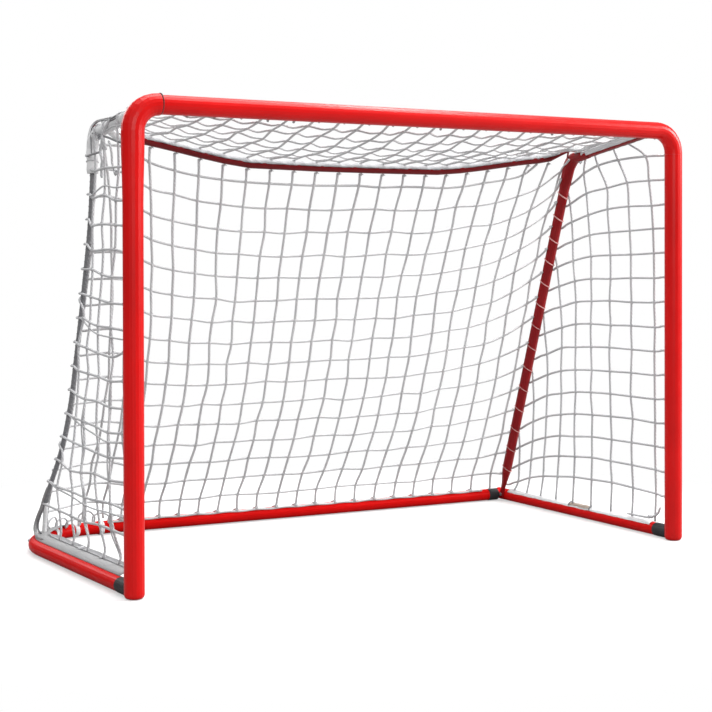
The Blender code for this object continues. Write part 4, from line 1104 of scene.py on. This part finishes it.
def build_shelf_covers():
    # the right cover is open underneath, where the bar shows
    front = RIGHT_SHELF[0]
    reach = RIGHT_UPRIGHT[-1] - front
    path = [front + unit(reach) * (0.034 + (np.linalg.norm(reach) - 0.104) * t)
            for t in np.linspace(0, 1, 9)]
    wrap_cloth("right_shelf_cover", path, 0.0137, (-30, 250), -X_AXIS, "sleeve",
               "right_shelf_sleeve", thick=0.0016, wrinkle=0.0003, steps=6)
    path = [lerp(LEFT_SHELF[0], LEFT_SHELF[1], t) for t in (0.10, 0.4, 0.7, 0.94)]
    path += [*LEFT_SHELF[2:6], vec(-0.785, 0.432, 1.095), vec(-0.785, 0.432, 1.0505)]
    wrap_cloth("left_shelf_cover", path, 0.0137, (-75, 283), X_AXIS, "tape",
               "left_shelf_sleeve", thick=0.0020, wrinkle=0.0009, steps=4)


def build_left_upright_cover():
    """Cord-wound sleeve of the slim left upright, with a wrap round its pinched foot."""
    radius = 0.0067
    heights = sorted({0.0745, 1.0750, 1.0555,
                      *(float(p[2]) for p in LEFT_UPRIGHT if 0.075 < p[2] < 1.06)})
    line = np.array([left_upright(z) for z in heights])
    halfway = lerp(line[:-1], line[1:], 0.5)
    pairs = np.concatenate([halfway[:, None], line[1:, None]], 1).reshape(-1, 3)
    line = np.vstack([line[0], pairs])

    foot = Cords()
    pinched = catmull([left_upright(z) for z in (0.0455, 0.054, 0.062, 0.070, 0.079)], 3)
    foot.sweep(pinched, np.linspace(0.0108, 0.0098, 13), 12, vec(0.875, -0.485, 0), flat=0.64)
    foot.sweep(line[line[:, 2] < 0.142], radius + 0.0001, 16, X_AXIS)
    foot.build("left_upright_foot_wrap", "tape")

    sleeve = Cords()
    sleeve.sweep(line[line[:, 2] > 0.128], radius, 16, X_AXIS)
    for z in np.linspace(0.145, 1.060, 57):
        axis = left_upright(z + 0.01) - left_upright(z - 0.01)
        sleeve.ring(left_upright(z), axis, radius + 0.0001, 0.0008, 5, 14, tilt=0.0045)
    sleeve.build("left_upright_cover", "grey_cord", "left_upright_sleeve")


# ---------------------------------------------------------------- top left rear corner
# flat strap over the left shelf bar and round the corner (x, y, z)
EDGE_STRAP = [
    (-0.790, 0.075, 1.1865), (-0.790, 0.130, 1.1860), (-0.790, 0.1962, 1.1867),
    (-0.7895, 0.2590, 1.1862), (-0.789, 0.3160, 1.1866), (-0.788, 0.3745, 1.1864),
    (-0.787, 0.4190, 1.1769), (-0.787, 0.4397, 1.1590), (-0.787, 0.4517, 1.1360),
    (-0.787, 0.4553, 1.1155), (-0.787, 0.4555, 1.0980)]
# thin cords along the strap, the turn at its lower end and loose cords: radius, sides, points
EDGE_CORDS = [
    (0.0018, 6, [(-0.7995, 0.3979, 1.0998), (-0.7995, 0.4007, 1.1263), (-0.799, 0.4025, 1.1555),
                 (-0.798, 0.3927, 1.1706), (-0.797, 0.3638, 1.1798), (-0.796, 0.3248, 1.1823),
                 (-0.795, 0.2696, 1.179), (-0.795, 0.215, 1.1815)]),
    (0.0031, 7, [(-0.7945, 0.4540, 1.1010), (-0.7985, 0.4380, 1.0966), (-0.803, 0.3881, 1.0975),
                 (-0.803, 0.3534, 1.0989), (-0.802, 0.3273, 1.1006), (-0.801, 0.3141, 1.1111),
                 (-0.803, 0.306, 1.1230)]),
    (0.0030, 7, [(-0.797, 0.404, 1.1557), (-0.802, 0.3502, 1.1482), (-0.804, 0.316, 1.1349),
                 (-0.804, 0.3015, 1.1398), (-0.803, 0.2564, 1.1319), (-0.803, 0.2086, 1.1212),
                 (-0.802, 0.150, 1.1096), (-0.806, 0.080, 1.098)]),
    (0.0023, 6, [(-0.800, 0.2487, 1.1755), (-0.800, 0.2074, 1.1789), (-0.798, 0.1609, 1.1795),
                 (-0.797, 0.110, 1.181)]),
    (0.0023, 6, [(-0.798, 0.2468, 1.1811), (-0.797, 0.1996, 1.1882), (-0.796, 0.1591, 1.1893),
                 (-0.795, 0.110, 1.189)])]
EDGE_KNOTS = [(-0.804, 0.3060, 1.1370), (-0.804, 0.3230, 1.1410), (-0.800, 0.2480, 1.1780)]
# hanging loops: radius, points
CORNER_LOOPS = [
    (0.0040, [(-0.797, 0.248, 1.1825), (-0.802, 0.2631, 1.1723), (-0.804, 0.2821, 1.1566),
              (-0.8055, 0.2987, 1.1406), (-0.8055, 0.3019, 1.1218), (-0.8045, 0.3167, 1.1022),
              (-0.803, 0.3067, 1.0783), (-0.801, 0.3162, 1.0616), (-0.801, 0.3165, 1.0324)]),
    (0.0040, [(-0.806, 0.296, 1.1404), (-0.807, 0.2771, 1.1163), (-0.805, 0.2726, 1.1017)]),
    (0.0032, [(-0.802, 0.2621, 1.1241), (-0.803, 0.2485, 1.1144), (-0.803, 0.2364, 1.0909),
              (-0.802, 0.2357, 1.0683), (-0.802, 0.2279, 1.0564), (-0.802, 0.2115, 1.0329)]),
    (0.0024, [(-0.803, 0.2849, 1.1527), (-0.803, 0.2701, 1.1529), (-0.803, 0.2335, 1.1584),
              (-0.802, 0.193, 1.1582), (-0.802, 0.1506, 1.157)])]


def build_top_corner():
    strap = Cords()
    path = catmull(EDGE_STRAP, 6)
    face = np.cross(np.gradient(path, axis=0), X_AXIS)
    face /= np.linalg.norm(face, axis=1)[:, None]
    strap.sweep(path, 0.0062, 12, face, flat=0.26, taper=True)
    strap.build("top_edge_strap", "tape")

    edge = Cords()
    for radius, sides, points in EDGE_CORDS:
        edge.loose(points, 5, radius, sides, X_AXIS)
    for place in EDGE_KNOTS:
        edge.knot(vec(*place), X_AXIS, 0.0016, 0.0024)
    edge.build("corner_edge_cords", "grey_cord")

    loops = Cords()
    for radius, points in CORNER_LOOPS:
        loops.loose(points, 6, radius, 7, X_AXIS)
    loops.ring(vec(-0.785, 0.432, 1.0815), UP, 0.0150, 0.0022, 6, 20, tilt=0.003)
    loops.knot(vec(-0.802, 0.2050, 1.0400), X_AXIS, 0.0016, 0.0024)
    loops.build("corner_loops", "side_cord")


# ---------------------------------------------------------------- base hems and ties
# cross-sections of the left hem: inwards, up from the tube's axis
SKIRT_SECTION = [(0.0005, BASE_R + 0.0002), (0.005, BASE_R + 0.0034), (0.014, BASE_R + 0.0060),
                 (0.026, BASE_R + 0.0066), (HEM_IN, BASE_R + 0.0062)]
FLAP_SECTION = [(HEM_IN - 0.002, BASE_R + 0.0056), (HEM_IN + 0.005, BASE_R + 0.0070),
                (HEM_IN + 0.010, BASE_R + 0.0098), (HEM_IN + 0.014, BASE_R + 0.0134)]
# the roll's climb from the hem to the left upright (x, y, z)
ROLL_CLIMB = [
    (-0.8460, 0.7350, 0.0480), (-0.8440, 0.7500, 0.0540), (-0.8425, 0.7600, 0.0640),
    (-0.8390, 0.7640, 0.0800), (-0.8345, 0.7560, 0.1010), (-0.8305, 0.7430, 0.1220),
    (-0.8275, 0.7350, 0.1420), (-0.8250, 0.7240, 0.1620), (-0.8215, 0.7100, 0.1860)]
# the darker cord that runs down the inside of it
DARK_CORD = [
    (-0.8150, 0.7080, 0.1930), (-0.8210, 0.7240, 0.1600), (-0.8240, 0.7400, 0.1260),
    (-0.8290, 0.7530, 0.1000), (-0.8330, 0.7600, 0.0790), (-0.8350, 0.7560, 0.0640),
    (-0.8350, 0.7460, 0.0550), (-0.8330, 0.7300, 0.0520)]


def build_left_hem():
    """Cloth on the left base tube, fading out rearwards, and its roll up to the upright."""
    stations = [(float(s), smooth((1.010 - s) / 0.16)) for s in np.linspace(0.088, 0.985, 46)]
    lay_skirt("left_base_skirt", stations, SKIRT_SECTION, "hem_cloth", "left_base_hem")
    stations = [(float(s), smooth((0.80 - s) / 0.14)) for s in np.linspace(0.088, 0.79, 36)]
    lay_skirt("left_base_flap", stations, FLAP_SECTION, "edge_cloth")

    dark = Cords()
    radii = [0.0046] * 4 + [0.0042] * 4 + [0.0036] * 6 + [0.0030] * 22
    dark.loose(DARK_CORD, 5, radii, 8, X_AXIS)
    dark.build("corner_dark_cord", "grey_cord")

    roll = Cords()
    path = catmull([base_left(0.660)[0] + vec(0.0080, 0, BASE_R + 0.0070),
                    base_left(0.705)[0] + vec(0.0060, 0, BASE_R + 0.0075), *ROLL_CLIMB], 4)
    radii = np.interp(np.arange(len(path)) / 4.0, [0, 2, 4, 7, 9, 10],
                      [0.0050, 0.0058, 0.0054, 0.0044, 0.0036, 0.0026])
    roll.sweep(path, radii, 12, UP, flat=0.85, taper=True)
    roll.build("left_base_roll", "hem_cloth")


def build_base_ties():
    ties = Cords()
    # piping on the left hem, with two short ties
    ties.loose([base_left(float(s))[0] + vec(HEM_IN + 0.0004, 0, BASE_R + 0.0088)
                for s in np.linspace(0.10, 0.74, 24)], 3, 0.0018, 8)
    for s in (0.300, 0.455):
        p, _ = base_left(s)
        ties.loose([p + vec(HEM_IN - 0.010, 0, BASE_R + 0.0100),
                    p + vec(HEM_IN, 0.003, BASE_R + 0.0125),
                    p + vec(HEM_IN + 0.008, 0.006, BASE_R + 0.0120)], 4, 0.0034)
    # bunched cords round the bent rear left corner
    for n, s in enumerate(np.linspace(0.80, 1.16, 8)):
        a, direction = base_left(float(s))
        b, _ = base_left(float(s) + 0.052)
        inside = inward(direction)
        height = 0.018 + 0.010 * ((n * 5) % 3)
        ties.loose([p + inside * across + vec(0, 0, BASE_R + up) for p, across, up in (
            (a, 0.016, -0.006), (a, 0.020, height * 0.7), (lerp(a, b, 0.5), 0.024, height),
            (b, 0.019, height * 0.5), (b, 0.0165, -0.004))], 5, 0.0030)
    # a loose tail and knot near the right front corner
    b = base_side(1, 0.09)
    ties.loose([vec(0.822, 0.040, 0.092), vec(0.820, 0.052, 0.070),
                b + vec(-0.020, 0.0, BASE_R + 0.016), b + vec(-0.010, 0.05, BASE_R + 0.012),
                b + vec(-0.008, 0.12, BASE_R + 0.011)], 5, 0.0036)
    ties.knot(b + vec(-0.020, -0.004, BASE_R + 0.018), UP, 0.0020, 0.0029)
    ties.build("base_ties", "rope")


def build_rear_rope():
    """A thin rope along the rear base tube with a short tie at every mesh."""
    rope = Cords()
    rope.loose([vec(x, BASE_DEPTH - 0.0135, BASE_TOP - 0.0015 + 0.0012 * math.sin(x * 61))
                for x in np.linspace(-0.56, 0.775, 56)], 2, 0.0034)
    for k in range(0, 20):
        x = drape(k, 1.0)[0][0]
        if x > 0.775:
            continue
        rope.loose([vec(x + 0.004, BASE_DEPTH - 0.016, BASE_TOP + 0.006),
                    vec(x - 0.001, BASE_DEPTH - 0.004, BASE_TOP + 0.0042),
                    vec(x - 0.006, BASE_DEPTH + 0.010, BASE_TOP - 0.0030)], 3, 0.0024, 6, X_AXIS)
        rope.knot(vec(x, BASE_DEPTH - 0.0155, BASE_TOP + 0.002), UP, 0.0015, 0.0023)
    rope.build("rear_base_rope", "cord", "rear_base_hem")


def build_right_hem():
    """Tape over the right side tube, with a patch and a cord at each end of it."""
    wrap_cloth("right_base_tape", [base_side(1, y) for y in np.linspace(0.095, 0.872, 24)],
               BASE_R + 0.0012, (36, 112), -X_AXIS, "tape", "right_base_hem",
               thick=0.0030, wrinkle=0.0005)
    wrap_cloth("right_base_patch", [base_side(1, y) for y in np.linspace(0.398, 0.512, 8)],
               BASE_R + 0.0052, (46, 86), -X_AXIS, "patch", thick=0.0012, wrinkle=0.0008)
    ends = Cords()
    for y in (0.400, 0.510):
        arc = []
        for degrees in range(36, 97, 8):
            a = math.radians(degrees)
            lean = 0.20 * (degrees - 66) / 38
            arc.append(base_side(1, y)
                       + vec(-math.cos(a), lean, math.sin(a)) * (BASE_R + 0.0072))
        ends.sweep(arc, 0.0022, 6, Y_AXIS, taper=True)
    ends.build("patch_ends", "grey_cord")


def build_straps():
    """Three straps round the bent rear left of the base."""
    for n, x in enumerate((-0.750, -0.673, -0.588), 1):
        p, along = base_left(base_left_at_x(x))
        wrap_cloth(f"strap_{n}", [p + along * s for s in (-0.0072, -0.0025, 0.0025, 0.0072)],
                   BASE_R + 0.0009, (-4, 359), UP, "tape", f"rear_strap_{n}",
                   thick=0.0012, wrinkle=0.0002, cols=30, edge_wave=0.3)


def build_fittings():
    # dark line round the mouth of the left elbow, where the crossbar plugs in
    seam = Cords()
    seam.ring(vec(-0.7668, 0, 1.1960), X_AXIS, 0.0255, 0.0021, 8, 48)
    seam.build("elbow_mouth_seam", "seam")
    # an eye with two legs over the rear top right corner
    eye = Cords()
    t = np.linspace(0, 2 * math.pi, 26, endpoint=False)[:, None]
    eye.sweep(vec(0.790, 0.430, 1.172) + X_AXIS * np.cos(t) * 0.0175
              + vec(0, 0.70, 0.55) * np.sin(t) * 0.0150, 0.0028, 8, vec(0, -0.6, 0.8), closed=True)
    for leg in ([(0.806, 0.420, 1.168), (0.811, 0.428, 1.152), (0.806, 0.434, 1.140)],
                [(0.774, 0.421, 1.168), (0.775, 0.428, 1.150), (0.779, 0.434, 1.142)]):
        eye.loose(leg, 4, 0.0028, 8, Y_AXIS)
    # the eye takes the darker red, whose darkness is painted shade
    eye.build("corner_eye", "dark_red")


# ---------------------------------------------------------------- floor, light, camera
# name, place, target, (width, height), watts
LIGHTS = [
    ("key", (5.4, -2.75, 2.9), (0.0, 0.0, 0.55), (2.2, 2.6), 450),
    ("fill", (-3.0, -5.2, 2.6), (0.0, 0.0, 0.6), (3.0, 2.0), 134),
    ("top", (0.2, 0.2, 4.4), (0.0, 0.0, 0.4), (3.6, 2.6), 165),
    ("strip", (1.5, -0.35, 3.8), (0.1, -0.45, 1.2), (2.8, 0.30), 75),
    ("back", (-1.5, 4.8, 2.8), (0.0, 0.0, 0.5), (3.0, 2.0), 70)]
CAMERA_PLACE = (-2.21323, -3.58351, 0.7927)    # before SHIFT
CAMERA_YAW, CAMERA_DOWN, CAMERA_ROLL = (math.radians(a) for a in (29.041, 0.637, -0.127))


def floor_material():
    """Off-white floor that fades to pure white away from the goal."""
    n = Surface("studio_floor")
    place = n.coords()
    length = n.new("VectorMath", operation="LENGTH")
    n.feed(length.inputs[0], place)
    far = n.remap(length.outputs["Value"], "SMOOTHSTEP", from_min=1.02, from_max=1.75,
                  to_min=0.45)
    col = n.ramp(n.noise(place, scale=3.0), (0.3, (0.90, 0.90, 0.90)), (0.7, (0.93, 0.93, 0.93)))
    glow = n.new("Emission")
    seen = n.new("LightPath").outputs["Is Camera Ray"]
    fac = n.math("MULTIPLY", far, seen)
    # the floor throws back less light than it shows, so undersides stay deep
    shown = n.math("MULTIPLY_ADD", seen, 0.66, 0.34)
    black = n.mix(1.0, col, (0.0, 0.0, 0.0))
    n.set(Base_Color=n.mix(shown, black, col), Roughness=0.85, Specular_IOR_Level=0.1)
    n.show_mix(fac, n.bsdf.outputs[0], glow.outputs[0])
    return n.mat


def build_floor():
    mesh = bpy.data.meshes.new("floor")
    corners = [(-40, -40, 0), (40, -40, 0), (40, 40, 0), (-40, 40, 0)]
    mesh.from_pydata(corners, [], [(0, 1, 2, 3)])
    mesh.materials.append(floor_material())
    floor = bpy.data.objects.new("floor", mesh)
    floor.location.z = -0.0006
    scene.collection.objects.link(floor)


def build_world():
    """White to the camera; light that grows with height, dimmer in reflections."""
    world = bpy.data.worlds.new("studio")
    scene.world = world
    n = Shader(world, "OutputWorld")
    seen = n.new("Background")
    n.feed(seen.inputs["Color"], (1, 1, 1))
    lit = n.new("Background")
    height = n.remap(n.xyz(n.texcoord("Generated"))["Z"], from_min=-0.2, from_max=1.0)
    sky = n.ramp(height, (0.0, (0.11, 0.11, 0.112)), (0.9, (0.92, 0.92, 0.93)))
    n.feed(lit.inputs["Color"], sky)
    ray = n.new("LightPath").outputs
    n.feed(lit.inputs["Strength"], n.math("MULTIPLY_ADD", ray["Is Glossy Ray"], -0.64, 0.98))
    n.show_mix(ray["Is Camera Ray"], lit.outputs[0], seen.outputs[0])


def build_lights():
    for name, place, target, size, power in LIGHTS:
        light = bpy.data.lights.new(name, "AREA")
        light.shape = "RECTANGLE"
        light.size, light.size_y = size
        light.energy = power
        ob = bpy.data.objects.new(name, light)
        ob.location = place
        aim = Vector(target) - Vector(place)
        ob.rotation_euler = aim.to_track_quat("-Z", "Y").to_euler()
        scene.collection.objects.link(ob)


def build_camera():
    sin, cos = math.sin, math.cos
    forward = Vector((sin(CAMERA_YAW) * cos(CAMERA_DOWN), cos(CAMERA_YAW) * cos(CAMERA_DOWN),
                      -sin(CAMERA_DOWN)))
    level = Vector((cos(CAMERA_YAW), -sin(CAMERA_YAW), 0))
    upward = level.cross(forward)
    right = level * cos(CAMERA_ROLL) + upward * sin(CAMERA_ROLL)
    up = upward * cos(CAMERA_ROLL) - level * sin(CAMERA_ROLL)
    data = bpy.data.cameras.new("camera")
    data.sensor_width = 36.0
    data.lens = 79.829494
    data.shift_x = 0.0
    data.shift_y = -0.09630618
    data.clip_end = 200
    camera = bpy.data.objects.new("camera", data)
    scene.collection.objects.link(camera)
    matrix = Matrix((right, up, -forward)).transposed().to_4x4()
    matrix.translation = Vector(CAMERA_PLACE) + Vector(SHIFT)
    camera.matrix_world = matrix
    scene.camera = camera


# The order matters: the pieces share one random generator.
finish_frame()
build_back_net()
build_right_net()
build_left_net()
build_top_net()
build_rear_bar_edge()
build_crossbar_ties()
build_upright_lacing()
build_shelf_covers()
build_left_upright_cover()
build_top_corner()
build_left_hem()
build_base_ties()
build_rear_rope()
build_right_hem()
build_straps()
build_fittings()
build_floor()
build_world()
build_lights()
scene.view_settings.view_transform = "Standard"
scene.view_settings.look = "None"
build_camera()
